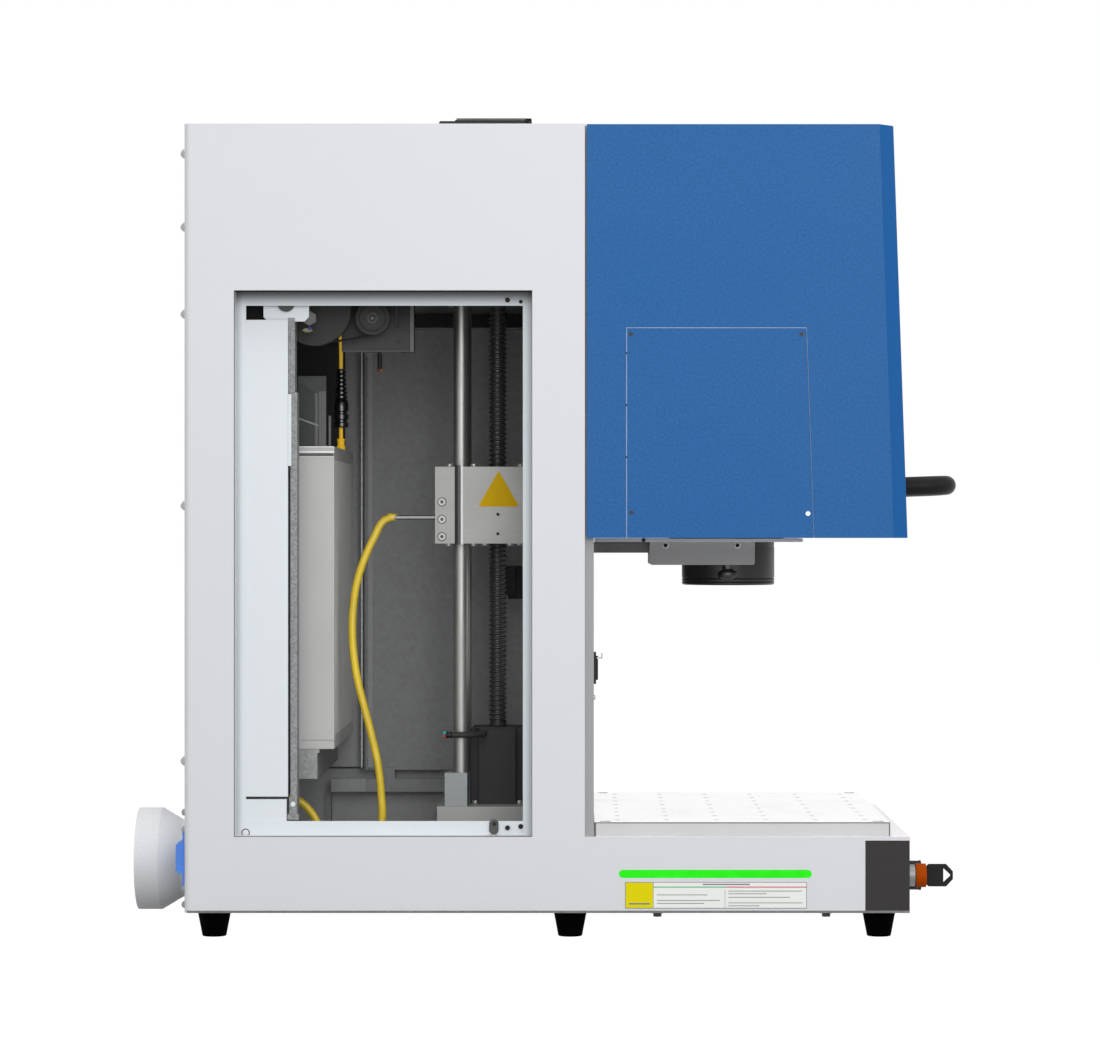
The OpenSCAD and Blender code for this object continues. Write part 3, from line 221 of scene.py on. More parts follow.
def turned(name, base, axis, profile, sides=48):
    # a turned part: (radius, distance along the axis) from the base, each step an extrusion
    clearSelection()
    radius, place = profile[0]
    bpy.ops.mesh.primitive_circle_add(vertices=sides, radius=radius, fill_type="NGON", location=(0, 0, place))
    piece = newest(name)
    fixPlace(piece)
    bpy.ops.object.mode_set(mode="EDIT")
    bpy.ops.mesh.select_all(action="SELECT")
    for nextRadius, nextPlace in profile[1:]:
        bpy.ops.mesh.extrude_region_move(TRANSFORM_OT_translate={"value": (0, 0, nextPlace - place)})
        ratio = nextRadius / radius
        bpy.ops.transform.resize(value=(ratio, ratio, 1), center_override=(0, 0, nextPlace))
        radius, place = nextRadius, nextPlace
    bpy.ops.mesh.select_all(action="SELECT")
    facingOut()
    bpy.ops.object.mode_set(mode="OBJECT")
    piece.rotation_euler = axisTurns[axis]
    piece.location = base
    fixPlace(piece)
    smooth(piece, 30)
    return piece


def discs(name, places, axis, profile, finish, body="frame", sides=24):
    return gathered(name, [turned("disc", place, axis, profile, sides) for place in places], finish, body)


def socketHead(top, axis, radius, height, sides, recess):
    profile = [(radius * 0.9, -height), (radius, -height * 0.85), (radius, -height * 0.15),
               (radius * 0.9, 0), (radius * recess, 0)]
    head = turned("screw", top, axis, profile, sides)
    side = -1 if axis[0] == "-" else 1
    out = Vector([side * (letter == axis[-1]) for letter in "xyz"])

    def fromTop(face):
        return (face.center - Vector(top)).length

    bpy.context.tool_settings.mesh_select_mode = (False, False, True)
    for part in (head.data.vertices, head.data.edges):
        part.foreach_set("select", [False] * len(part))
    for face in head.data.polygons:
        face.select = face.normal.dot(out) > 0.9 and len(face.vertices) > 6 and fromTop(face) < radius * 0.2
    bpy.ops.object.mode_set(mode="EDIT")
    bpy.ops.mesh.extrude_region_move(TRANSFORM_OT_translate={"value": [-part * height * 0.6 for part in out]})
    bpy.ops.object.mode_set(mode="OBJECT")
    reach = radius * (recess + 0.03) + height * 0.3
    inside = [face.select or fromTop(face) < reach and abs(face.normal.dot(out)) < 0.5
              for face in head.data.polygons]
    head.data.attributes.new("recess", "BOOLEAN", "FACE").data.foreach_set("value", inside)
    smooth(head, 30)
    return head


def screws(name, places, axis, radius, height, finish, body="frame", sides=24, recess=0.5):
    # socket heads, their recesses in a dark finish: painted shade
    piece = gathered(name, [socketHead(place, axis, radius, height, sides, recess) for place in places], finish, body)
    piece.data.materials.append(finishes["recessShade"])
    for face, inside in zip(piece.data.polygons, piece.data.attributes["recess"].data):
        face.material_index = 1 if inside.value else 0


def swept(name, points, radius, sides, kind):
    # a round tube along a curve; gives back the curve too
    curve = bpy.data.curves.new(name, "CURVE")
    curve.dimensions = "3D"
    spline = curve.splines.new(kind)
    knots = spline.bezier_points if kind == "BEZIER" else spline.points
    knots.add(len(points) - 1)
    for knot, place in zip(knots, points):
        if kind == "BEZIER":
            knot.co = place
            knot.handle_left_type = knot.handle_right_type = "AUTO"
        else:
            knot.co = (*place, 1)
    if kind == "NURBS":
        spline.use_endpoint_u = True
        spline.order_u = 4
    spline.resolution_u = 8
    curve.bevel_depth = radius
    curve.bevel_resolution = sides
    curve.use_fill_caps = True
    piece = bpy.data.objects.new(name, curve)
    bpy.context.scene.collection.objects.link(piece)
    return piece, curve


def node(owner, kind, **inputs):
    made = owner.node_tree.nodes.new("ShaderNode" + kind)
    for key, value in inputs.items():
        made.inputs[key.replace("_", " ")].default_value = value
    return made


def wire(owner, start, end):
    owner.node_tree.links.new(start, end)


# camera, lamps and room

cameraPlace = (0.0302, -3.815, 0.411)
optics = {"lens": 117.8, "sensor_width": 36, "sensor_fit": "HORIZONTAL", "shift_x": -0.0282, "shift_y": 0.0009,
          "clip_end": 50}
bpy.ops.object.camera_add(location=cameraPlace, rotation=(math.pi / 2, 0, 0))
cameraPiece = bpy.context.object
for key, value in optics.items():
    setattr(cameraPiece.data, key, value)
bpy.context.scene.camera = cameraPiece
bpy.context.scene.view_settings.view_transform = "Standard"

lamps = {
    "overhead": {"place": (0.1, -0.45, 2.8), "aim": (0, 0, 0.4), "size": 2.4, "power": 30},
    "service": {"place": (0.35, -3.2, 0.2), "aim": (0, 0, 0.3), "size": 2.2, "power": 31.5},
    "window": {"place": (0.45, -3.4, 2.1), "aim": (0, 0, 0.2), "size": 2.0, "power": 29.5},
    "operator": {"place": (2.6, -1.4, 1.6), "aim": (0, 0, 0.4), "size": 1.4, "power": 12},
    "rear": {"place": (-2.4, 2.0, 1.8), "aim": (0, 0, 0.4), "size": 1.6, "power": 12},
}
for lampName, values in lamps.items():
    bpy.ops.object.light_add(type="AREA", location=values["place"])
    lamp = newest(lampName + "Lamp")
    lamp.data.size = values["size"]
    lamp.data.energy = values["power"]
    lamp.rotation_euler = (Vector(values["aim"]) - Vector(values["place"])).to_track_quat("-Z", "Y").to_euler()


def lightAndView(owner, rays, share, light, view, output):
    # one shader lights the room, and the other is what the named rays see of it
    path = node(owner, "LightPath")
    seen = path.outputs[rays[0]]
    for ray in rays[1:]:
        either = node(owner, "Math")
        either.operation = "MAXIMUM"
        wire(owner, seen, either.inputs[0])
        wire(owner, path.outputs[ray], either.inputs[1])
        seen = either.outputs[0]
    part = node(owner, "Math")
    part.operation = "MULTIPLY"
    part.inputs[1].default_value = share
    mix = node(owner, "MixShader")
    wire(owner, seen, part.inputs[0])
    wire(owner, part.outputs[0], mix.inputs[0])
    wire(owner, light.outputs[0], mix.inputs[1])
    wire(owner, view.outputs[0], mix.inputs[2])
    wire(owner, mix.outputs[0], node(owner, output).inputs["Surface"])


white = (1, 1, 1, 1)
sky = {"strength": 0.56, "shown": 1.0}
world = bpy.data.worlds.new("studio")
bpy.context.scene.world = world
world.use_nodes = True
world.node_tree.nodes.clear()
lightAndView(world, ("Is Camera Ray", "Is Glossy Ray", "Is Transmission Ray"), 1.0,
             node(world, "Background", Color=white, Strength=sky["strength"]),
             node(world, "Background", Color=white, Strength=sky["shown"]), "OutputWorld")

ground = {"size": 14, "colour": (0.45, 0.45, 0.45, 1), "whiteness": 0.93, "glow": 1.085}
bpy.ops.mesh.primitive_plane_add(size=ground["size"], location=(0, 0, 0))
floor = newest("studioFloor")
floorPaint = bpy.data.materials.new("floorPaint")
floorPaint.use_nodes = True
floorPaint.node_tree.nodes.clear()
lightAndView(floorPaint, ("Is Camera Ray", "Is Glossy Ray"), ground["whiteness"],
             node(floorPaint, "BsdfDiffuse", Color=ground["colour"]),
             node(floorPaint, "Emission", Strength=ground["glow"]), "OutputMaterial")
floor.data.materials.append(floorPaint)
print("camera, lamps and floor ready")


# makers of finishes: each draws its grain and wear from object coordinates

def shaderOf(material):
    return material.node_tree.nodes["Principled BSDF"]


def finish(name, colour, rough, metal=0.0, specular=0.5):
    material = bpy.data.materials.new(name)
    material.use_nodes = True
    inputs = shaderOf(material).inputs
    inputs["Base Color"].default_value = (*colour, 1)
    inputs["Roughness"].default_value = rough
    inputs["Metallic"].default_value = metal
    inputs["Specular IOR Level"].default_value = specular
    return material


def noise(material, scale, detail=2.0, rough=0.5, stretch=(1, 1, 1)):
    mapping = node(material, "Mapping", Scale=stretch)
    texture = node(material, "TexNoise", Scale=scale, Detail=detail, Roughness=rough)
    wire(material, node(material, "TexCoord").outputs["Object"], mapping.inputs["Vector"])
    wire(material, mapping.outputs["Vector"], texture.inputs["Vector"])
    return texture.outputs["Fac"]


def shades(material, source, dark, light, low=0.3, high=0.7):
    ramp = node(material, "ValToRGB")
    for element, place, colour in zip(ramp.color_ramp.elements, (low, high), (dark, light)):
        element.position = place
        element.color = (*colour, 1)
    wire(material, source, ramp.inputs["Fac"])
    return ramp.outputs["Color"]


def tones(material, source, colour, dark, light, low=0.3, high=0.7):
    # from darker to lighter than one colour, by two factors
    return shades(material, source, *[[min(1.0, part * factor) for part in colour] for factor in (dark, light)],
                  low, high)


def multiplied(material, first, second):
    mix = node(material, "Mix")
    mix.data_type = "RGBA"
    mix.blend_type = "MULTIPLY"
    mix.inputs[0].default_value = 1.0
    wire(material, first, mix.inputs[6])
    wire(material, second, mix.inputs[7])
    return mix.outputs[2]


def dress(material, colour, wear=None, rough=(), grain=None, strength=0.1, depth=0.00003):
    # base colour, a roughness spread by the wear, and relief from the grain
    inputs = shaderOf(material).inputs
    wire(material, colour, inputs["Base Color"])
    if wear:
        reach = node(material, "MapRange", From_Min=0.3, From_Max=0.7, To_Min=rough[0], To_Max=rough[1])
        wire(material, wear, reach.inputs["Value"])
        wire(material, reach.outputs["Result"], inputs["Roughness"])
    if grain:
        bump = node(material, "Bump", Strength=strength, Distance=depth)
        wire(material, grain, bump.inputs["Height"])
        wire(material, bump.outputs["Normal"], inputs["Normal"])
    return material


def powderCoat(name, colour, rough, grain, depth, strength, patch, fleck, specular=0.3):
    material = finish(name, colour, rough, 0.0, specular)
    peel, broad = noise(material, grain, 2), noise(material, 5, 3)
    flecks = tones(material, peel, colour, 1 - fleck, 1 + fleck, 0.35, 0.65)
    patches = tones(material, broad, (1, 1, 1), 1 - patch, 1)
    return dress(material, multiplied(material, flecks, patches), broad, (rough - 0.05, rough + 0.05),
                 peel, strength, depth)


def zincSheet(name, colour, rough, metal, cell=260, contrast=0.14, specular=0.4):
    material = finish(name, colour, rough, metal, specular)
    spangle = node(material, "TexVoronoi", Scale=cell)
    wire(material, node(material, "TexCoord").outputs["Object"], spangle.inputs["Vector"])
    grit, broad = noise(material, 700, 4), noise(material, 9, 4, 0.6)
    crystals = tones(material, spangle.outputs["Color"], colour, 1 - contrast, 1 + contrast, 0.1, 0.9)
    stains = tones(material, broad, (1, 1, 1), 0.86, 1, 0.3, 0.65)
    return dress(material, multiplied(material, crystals, stains), broad, (rough - 0.08, rough + 0.1),
                 grit, 0.15, 0.00004)


def cutMetal(name, colour, rough, metal, along, lines, strength, contrast, specular=0.5):
    # milled, ground or turned metal, its fine lines running along one axis
    material = finish(name, colour, rough, metal, specular)
    cuts = noise(material, lines, 3, 0.6, [0.04 if letter == along else 1 for letter in "xyz"])
    return dress(material, tones(material, cuts, colour, 1 - contrast, 1 + contrast, 0.35, 0.65),
                 noise(material, 14, 3), (rough - 0.07, rough + 0.07), cuts, strength)


def moulded(name, colour, rough=0.5, grain=1400, strength=0.15, specular=0.4, coat=0.0):
    material = finish(name, colour, rough, 0.0, specular)
    shaderOf(material).inputs["Coat Weight"].default_value = coat
    broad = noise(material, 25, 2)
    return dress(material, tones(material, broad, colour, 0.9, 1.1), broad, (rough - 0.06, rough + 0.06),
                 noise(material, grain, 2), strength)


def printed(name, colour, rough=0.35, specular=0.4):
    material = finish(name, colour, rough, 0.0, specular)
    fibre = noise(material, 2200, 3)
    return dress(material, tones(material, fibre, colour, 0.96, 1.03), grain=fibre, strength=0.05, depth=0.00001)


def clear(name, colour, rough, specular, scale, dark, light, reliefStrength=0.0):
    material = finish(name, colour, rough, 0.0, specular)
    grain = noise(material, scale, 2)
    return dress(material, shades(material, grain, dark, light), grain=grain if reliefStrength else None,
                 strength=reliefStrength, depth=0.00005)


def shadeAlong(material, axis, start, end, first, last):
    # painted shade: a slow change of tone between two places along an axis
    parts = node(material, "SeparateXYZ")
    wire(material, node(material, "TexCoord").outputs["Object"], parts.inputs["Vector"])
    reach = node(material, "MapRange", From_Min=start, From_Max=end, To_Min=first, To_Max=last)
    reach.interpolation_type = "SMOOTHSTEP"
    wire(material, parts.outputs[axis], reach.inputs["Value"])
    base = shaderOf(material).inputs["Base Color"]
    wire(material, multiplied(material, base.links[0].from_socket, reach.outputs["Result"]), base)


# powder coats: colour, roughness, grain, its depth and strength, patches, flecks, specular
coats = {
    "bodyPaint": ((0.7, 0.71, 0.735), 0.48, 1100, 0.00004, 0.18, 0.012, 0.006),
    "innerPaint": ((0.76, 0.805, 0.835), 0.5, 1100, 0.00004, 0.15, 0.03, 0.008),
    # the ledge's paint is innerPaint's colour; the gradients below paint shade onto it, under its top return and near
    # the jambs
    "ledgePaint": ((0.76, 0.805, 0.835), 0.5, 1100, 0.00004, 0.15, 0.03, 0.008),
    "hoodPaint": ((0.0178, 0.118, 0.34), 0.5, 400, 0.0003, 0.8, 0.03, 0.1, 0.18),
    "chamferPaint": ((0.008, 0.108, 0.35), 0.45, 330, 0.0002, 0.25, 0.03, 0.03, 0.1),
    "capPaint": ((0.032, 0.029, 0.029), 0.55, 800, 0.00008, 0.3, 0.06, 0.06, 0.2),
    "columnPaint": ((0.355, 0.36, 0.365), 0.5, 900, 0.00006, 0.2, 0.06, 0.03),
    # the duct's paint; a gradient below darkens it towards the bottom: painted shade
    "ductPaint": ((0.82, 0.83, 0.85), 0.55, 700, 0.00012, 0.3, 0.09, 0.04),
    "trayPaint": ((0.74, 0.76, 0.78), 0.45, 1100, 0.00004, 0.15, 0.03, 0.01),
    # a lighter, glossier copy of the body paint; on the deck's top it is painted light, the top brighter than the sides
    "deckWhite": ((0.88, 0.88, 0.89), 0.14, 1100, 0.00002, 0.05, 0.02, 0.006, 0.6),
    # the lift plate's coat; a gradient below darkens it towards the top: painted shade
    "liftCoat": ((0.062, 0.062, 0.061), 0.6, 900, 0.00006, 0.2, 0.05, 0.06, 0.15),
    "bracketCoat": (0.4, 0.5, 700, 0.00008, 0.25, 0.03, 0.04, 0.3),
    "motorBlack": (0.042, 0.5, 900, 0.00005, 0.2, 0.05, 0.05, 0.2),
    # dark coats for the plates that stand for shade on the far wall and behind the source: painted shade
    "shadeCoat": ((0.055, 0.055, 0.056), 0.6, 900, 0.00005, 0.2, 0.1, 0.05, 0.15),
    "cornerCoat": ((0.26, 0.265, 0.275), 0.6, 900, 0.00005, 0.2, 0.08, 0.04, 0.15),
}
# zinc sheets: colour, roughness, metallic, crystals to a metre, their contrast
zincs = {
    "rimZinc": ((0.17, 0.175, 0.175), 0.5, 0.3),
    "zinc": ((0.34, 0.35, 0.35), 0.5, 0.35),
    "darkZinc": ((0.34, 0.345, 0.35), 0.6, 0.1, 200, 0.06),
    "wallZinc": ((0.42, 0.425, 0.43), 0.6, 0.1, 200, 0.05),
    "edgeZinc": ((0.275, 0.283, 0.288), 0.55, 0.15, 520, 0.26),
    # a lighter zinc for a strip beside the far wall's seam: painted highlight on the sheet's edge
    "brightZinc": ((0.62, 0.64, 0.65), 0.45, 0.3),
    # the gusset's zinc; the web's zinc and dimZinc are darker copies of it for painted shade on the gusset's web and
    # the source tray's top, and the strut's zinc a lighter copy, a painted highlight
    "gussetZinc": ((0.115, 0.117, 0.117), 0.55, 0.15, 300, 0.06),
    "strutZinc": ((0.26, 0.265, 0.265), 0.55, 0.15, 300, 0.06),
    "dimZinc": ((0.055, 0.057, 0.057), 0.6, 0.1, 300, 0.06),
    "darkWeb": ((0.038, 0.04, 0.041), 0.6, 0.1, 300, 0.08),
}
# cut metals: colour, roughness, metallic, the lines' axis, lines, strength, contrast, specular
metals = {
    "tableMetal": ((0.49, 0.49, 0.495), 0.42, 0.35, "x", 900, 0.06, 0.02),
    # the table's top face in a near-white copy of the table metal, painted light; its ends in a dark copy, painted
    # shade
    "tableTop": (0.985, 0.16, 0.8, "x", 900, 0.02, 0.02),
    "tableEnd": ((0.22, 0.22, 0.225), 0.5, 0.3, "z", 900, 0.1, 0.05),
    "milled": ((0.395, 0.395, 0.385), 0.5, 0.25, "x", 800, 0.08, 0.025),
    "supportMetal": ((0.34, 0.36, 0.37), 0.5, 0.25, "x", 800, 0.08, 0.025),
    "sourceMetal": ((0.5, 0.5, 0.485), 0.5, 0.2, "none", 1500, 0.12, 0.04),
    # a lighter copy of the source metal for the source's right flank: painted light
    "sourceFlank": ((0.66, 0.66, 0.64), 0.55, 0.1, "z", 700, 0.08, 0.03),
    # near white, for lit edges on the source: painted highlight
    "edgeMetal": ((0.8, 0.8, 0.79), 0.4, 0.3, "x", 900, 0.05, 0.03),
    "shadedMetal": ((0.12, 0.12, 0.118), 0.6, 0.1, "x", 900, 0.05, 0.05),
    # near white, for the lit edge of the carriage's slot: painted highlight
    "slotMetal": ((0.95, 0.95, 0.94), 0.5, 0.0, "z", 900, 0.05, 0.03),
    "groundRod": ((0.36, 0.36, 0.35), 0.42, 0.9, "z", 900, 0.05, 0.03),
    "turnedSteel": ((0.4, 0.41, 0.42), 0.36, 0.85, "none", 600, 0.08, 0.06),
    "brightSteel": ((0.46, 0.46, 0.45), 0.4, 0.7, "none", 600, 0.06, 0.05),
    "screwSteel": ((0.46, 0.46, 0.455), 0.45, 0.5, "none", 600, 0.06, 0.05),
    "tubeSteel": (0.24, 0.35, 0.8, "x", 600, 0.06, 0.05),
    # bearing steel made near black: painted shade inside the carriage
    "bearingSteel": ((0.075, 0.075, 0.078), 0.45, 0.4, "z", 600, 0.08, 0.06),
    # a light metal for strips seen in the gaps round the hood's access panels: painted highlight
    "seamMetal": ((0.42, 0.47, 0.54), 0.5, 0.3, "none", 600, 0.06, 0.05),
    "bronzeMetal": ((0.42, 0.29, 0.13), 0.36, 0.9, "none", 600, 0.08, 0.06),
    "screwBlack": (0.07, 0.4, 0.35, "none", 900, 0.08, 0.12),
    "blackOxide": (0.028, 0.42, 0.55, "none", 900, 0.1, 0.15),
    "blackAnodised": ((0.022, 0.022, 0.024), 0.4, 0.35, "none", 1100, 0.1, 0.1),
    "greyAnodised": ((0.13, 0.13, 0.128), 0.55, 0.1, "x", 900, 0.1, 0.06),
    "bezelPlastic": ((0.24, 0.245, 0.24), 0.42, 0.6, "x", 500, 0.05, 0.03),
    "keyBlack": (0.012, 0.5, 0.0, "none", 900, 0.08, 0.1, 0.14),
}
# mouldings: colour, roughness, grain, strength, specular, clear coat
mouldings = {
    "blackPlastic": ((0.012, 0.012, 0.013), 0.5, 1400, 0.15, 0.25),
    "handlePlastic": (0.008, 0.45, 1200, 0.12, 0.14),
    "footRubber": (0.0008, 0.85, 900, 0.2, 0.02),
    "beltRubber": (0.008, 0.7, 900, 0.2, 0.2),
    "bootRubber": (0.004, 0.3, 1200, 0.05, 1.0, 0.7),
    "blackGloss": (0.012, 0.22, 900, 0.05, 0.5),
    "slotShade": (0.018, 0.5, 900, 0.1, 0.2),
    "recessShade": (0.03, 0.6, 900, 0.1, 0.1),
    "wheelBlack": ((0.038, 0.038, 0.037), 0.6, 900, 0.1, 0.2),
    "greyLead": (0.055, 0.5),
    "keeperGrey": (0.075, 0.45, 900, 0.1, 0.3),
    "paleKnob": ((0.17, 0.17, 0.1), 0.5),
    "stopPlastic": ((0.41, 0.06, 0.0005), 0.5, 1400, 0.08, 0.03),
    "socketPlastic": ((0.075, 0.23, 0.74), 0.42),
    "cableJacket": ((0.93, 0.66, 0.035), 0.3, 900, 0.08, 0.6),
    "pigtailJacket": ((0.93, 0.62, 0.06), 0.3, 900, 0.08, 0.6),
    "yellowNut": ((0.95, 0.62, 0.02), 0.35, 1200, 0.08, 0.5),
    "cyanTip": ((0.02, 0.55, 0.62), 0.4),
    "redTip": ((0.6, 0.03, 0.02), 0.4),
    "violetTip": ((0.03, 0.012, 0.22), 0.5),
}
# printed films: colour, roughness, specular
prints = {
    "labelFilm": ((0.84, 0.86, 0.84),),
    "yellowInk": ((0.78, 0.68, 0.004), 0.5, 0.05),
    "greenInk": ((0.02, 0.42, 0.08),),
    "redInk": ((0.62, 0.02, 0.03),),
    "greyInk": (0.2,),
    "stickerYellow": ((0.74, 0.46, 0.004), 0.5, 0.08),
}
# clear parts: colour, roughness, specular, grain, its dark and light colour, relief
clears = {
    "windowTint": ((0.75, 0.22, 0.03), 0.08, 0.5, 40, (0.7, 0.2, 0.025), (0.8, 0.25, 0.035), 0.02),
    "lensGlass": ((0.05, 0.03, 0.09), 0.05, 0.8, 30, (0.04, 0.02, 0.08), (0.07, 0.04, 0.12)),
}
finishes = {}
for maker, table in ((powderCoat, coats), (zincSheet, zincs), (cutMetal, metals), (moulded, mouldings),
                     (printed, prints), (clear, clears)):
    for finishName, (colour, *values) in table.items():
        rgb = colour if isinstance(colour, tuple) else (colour, colour, colour)
        finishes[finishName] = maker(finishName, rgb, *values)

# painted shade: the tone falls or rises along an axis, between two places and two factors; the ledge darkens under its
# top return and towards the jambs, the duct towards its bottom, the lift plate and the corner plate towards their tops
shadeGradients = [("ledgePaint", "Z", 0.6335, 0.65, 1.0, 0.15), ("ledgePaint", "X", -0.0262, -0.0184, 1.0, 0.66),
             ("ledgePaint", "X", -0.3172, -0.309, 0.62, 1.0), ("ductPaint", "Z", 0.01, 0.1, 0.62, 1.0),
             ("liftCoat", "Z", 0.6, 0.648, 1.0, 0.3), ("cornerCoat", "Z", 0.2, 0.52, 1.0, 0.42)]
for finishName, *values in shadeGradients:
    shadeAlong(finishes[finishName], *values)

windowInputs = shaderOf(finishes["windowTint"]).inputs
windowInputs["Transmission Weight"].default_value = 0.85
windowInputs["IOR"].default_value = 1.49

# the pigtail's jacket and the connector's nut glow though they are no lamps: painted light that brightens them in the
# shaded interior
for finishName, glow in (("pigtailJacket", (0.34, 0.2, 0.012, 1)), ("yellowNut", (0.42, 0.22, 0.004, 1))):
    paintedGlowInputs = shaderOf(finishes[finishName]).inputs
    paintedGlowInputs["Emission Color"].default_value = glow
    paintedGlowInputs["Emission Strength"].default_value = 0.7
lampGlow = finishes["lampGlow"] = finish("lampGlow", (0.004, 0.1, 0.002), 0.5, 0.0, 0.05)
lampInputs = shaderOf(lampGlow).inputs
lampInputs["Emission Strength"].default_value = 0.93
wire(lampGlow, shades(lampGlow, noise(lampGlow, 60, 2), (0.018, 0.8, 0.009), (0.03, 0.92, 0.014)),
     lampInputs["Emission Color"])
print("finishes ready")


# pieces made from the CAD: each node's finish and the rounding of its edges

bodyLooks = {
    "near_side": ("bodyPaint", 0.0007), "far_side": ("bodyPaint", 0.0007), "rear_panel": ("bodyPaint", 0.0006),
    "top_panel": ("bodyPaint", 0.0006), "base_plates": ("bodyPaint", 0.0006), "column_front": ("columnPaint", 0.0006),
    "front_panel": ("capPaint", 0.0008), "lamp_strip": ("lampGlow", 0.0008), "feet": ("footRubber", 0.0008),
    "frame_bolts": ("turnedSteel", 0.0003), "work_table": ("tableMetal", 0.0005), "exhaust_duct": ("ductPaint", 0.0004),
    "fan_frame": ("blackPlastic", 0.0005), "fan_rotor": ("blackPlastic", 0.0003),
    "mains_inlet": ("socketPlastic", 0.0004), "port_frame": ("blackPlastic", 0.0004),
    "port_lid": ("blackPlastic", 0.0006),
    "control_bezels": ("bezelPlastic", 0.0005), "stop_button": ("stopPlastic", 0.0012),
    "key_switch": ("keyBlack", 0.0004),
}
innerLooks = {
    "shelves": ("zinc", 0.0005), "partitions": ("innerPaint", 0.0006), "laser_source": ("sourceMetal", 0.0008),
    "source_tray": ("zinc", 0.0005), "controller_box": ("darkZinc", 0.0008), "rear_inner_plate": ("darkZinc", 0.0005),
    "octagon_plate": ("innerPaint", 0.0004), "lift_plate": ("liftCoat", 0.0006), "lift_shaft": ("wheelBlack", 0.0004),
    "motor_pulley": ("wheelBlack", 0.0003), "lift_belt": ("beltRubber", 0.0002), "motors": ("motorBlack", 0.0005),
    "guide_rods": ("groundRod", 0.0005), "rod_supports": ("supportMetal", 0.0005), "z_plates": ("milled", 0.0006),
    "switches": ("blackPlastic", 0.0005), "switch_lever": ("turnedSteel", 0.0), "carriage": ("milled", 0.0005),
    "linear_bearings": ("bearingSteel", 0.0004), "screw_nut": ("bronzeMetal", 0.0004),
    "fibre_tube": ("tubeSteel", 0.0003),
    "head_arm": ("greyAnodised", 0.0006), "head_tray": ("trayPaint", 0.0005), "galvo_head": ("blackAnodised", 0.0012),
    "galvo_bracket": ("bracketCoat", 0.0006), "scan_lens": ("blackAnodised", 0.0006),
}
hoodLooks = {
    "hood_sides": ("hoodPaint", 0.0006), "hood_access_panels": ("hoodPaint", 0.0004),
    "hood_front": ("chamferPaint", 0.0008),
    "hood_top": ("hoodPaint", 0.0006), "hood_window": ("windowTint", 0.0005), "hood_screws": ("blackOxide", 0.0002),
    "hood_handle": ("handlePlastic", 0.0008), "hood_brackets": ("zinc", 0.0005), "hood_rails": ("turnedSteel", 0.0005),
}
made = {}
for stage, looks in (("body", bodyLooks), ("inner", innerLooks), ("hood", hoodLooks)):
    for nodeName, (finishName, width) in looks.items():
        made[nodeName] = fromNode(nodeName, finishName, width)
    print(stage, "pieces ready")


# faces with a finish of their own

def frontOf(piece):
    return min(point.co.y for point in piece.data.vertices)


guideFront = frontOf(made["octagon_plate"])
faceLooks = [
    ("lamp_strip", "blackPlastic", lambda f: f.center.y > -0.2125),
    ("far_side", "wallZinc", lambda f: f.normal.y < -0.9 and f.center.y < 0.2145),
    ("frame_bolts", "blackOxide", lambda f: f.center.z < 0.0275),
    ("column_front", "wallZinc", lambda f: f.normal.x < -0.5),
    # the deck's top faces in a lighter, glossier copy of the body paint: painted light
    ("base_plates", "deckWhite", lambda f: f.normal.z > 0.9 and f.center.z > 0.1 and f.center.x > 0.04),
    # the table's top near white, painted light; its ends dark, painted shade
    ("work_table", "tableTop", lambda f: f.normal.z > 0.9),
    ("work_table", "tableEnd", lambda f: abs(f.normal.x) > 0.5),
    # the ledge's faces take the paint with painted shade on it
    ("near_side", "ledgePaint", lambda f: f.normal.y < -0.9 and -0.2 < f.center.y < -0.18),
    ("partitions", "edgeZinc", lambda f: f.normal.x > 0.9),
    # the source's right flank in a lighter copy of its metal: painted light
    ("laser_source", "sourceFlank", lambda f: f.normal.x > 0.9),
    ("octagon_plate", "wallZinc", lambda f: f.normal.y > -0.9),
    ("octagon_plate", "blackOxide", lambda f: f.center.y < guideFront + 0.001),
    # the source tray's upper faces in a dark copy of the zinc: painted shade
    ("source_tray", "dimZinc", lambda f: f.center.z > 0.4955 and f.center.x < -0.2),
    # the underside of the opening's top return in dark rubber: painted shade
    ("near_side", "beltRubber", lambda f: f.normal.z < -0.9 and -0.214 < f.center.y < -0.19 and f.center.z > 0.6),
    ("mains_inlet", "blackPlastic", lambda f: f.center.x > back - 0.0025),
    ("control_bezels", "blackPlastic", lambda f: f.center.y > -0.156),
]
for nodeName, finishName, test in faceLooks:
    paintFaces(made[nodeName], finishName, test)


# body details

rim = {"left": back + 0.003, "right": 0.3588, "low": 0.0259, "high": 0.0283,
       "sides": ((-0.2153, -0.2145), (0.2145, 0.2153))}
# a dark grey strip along each side's foot: the base sheet's bottom edge, darkened as painted shade on its bend
plates("baseRim", [(rim["left"], near, rim["low"], rim["right"], far, rim["high"]) for near, far in rim["sides"]],
       "rimZinc", width=0.0001)

label = {"left": 0.07433, "right": 0.2561, "low": 0.0305, "high": 0.0569, "edge": 0.0006, "face": -0.21531,
         "layer": 0.00006, "corner": 0.00002}
film = {"left": label["left"] + label["edge"], "right": label["right"] - label["edge"],
        "low": label["low"] + label["edge"], "high": label["high"] - label["edge"]}


def field(left, right, low, high, finishName, lift=1):
    # a printed area; a higher lift lies over a lower one
    face = label["face"] - lift * label["layer"]
    patch = plate((left, face, low), (right, face + 0.0003, high), label["corner"])
    paint(patch, finishName)
    return patch


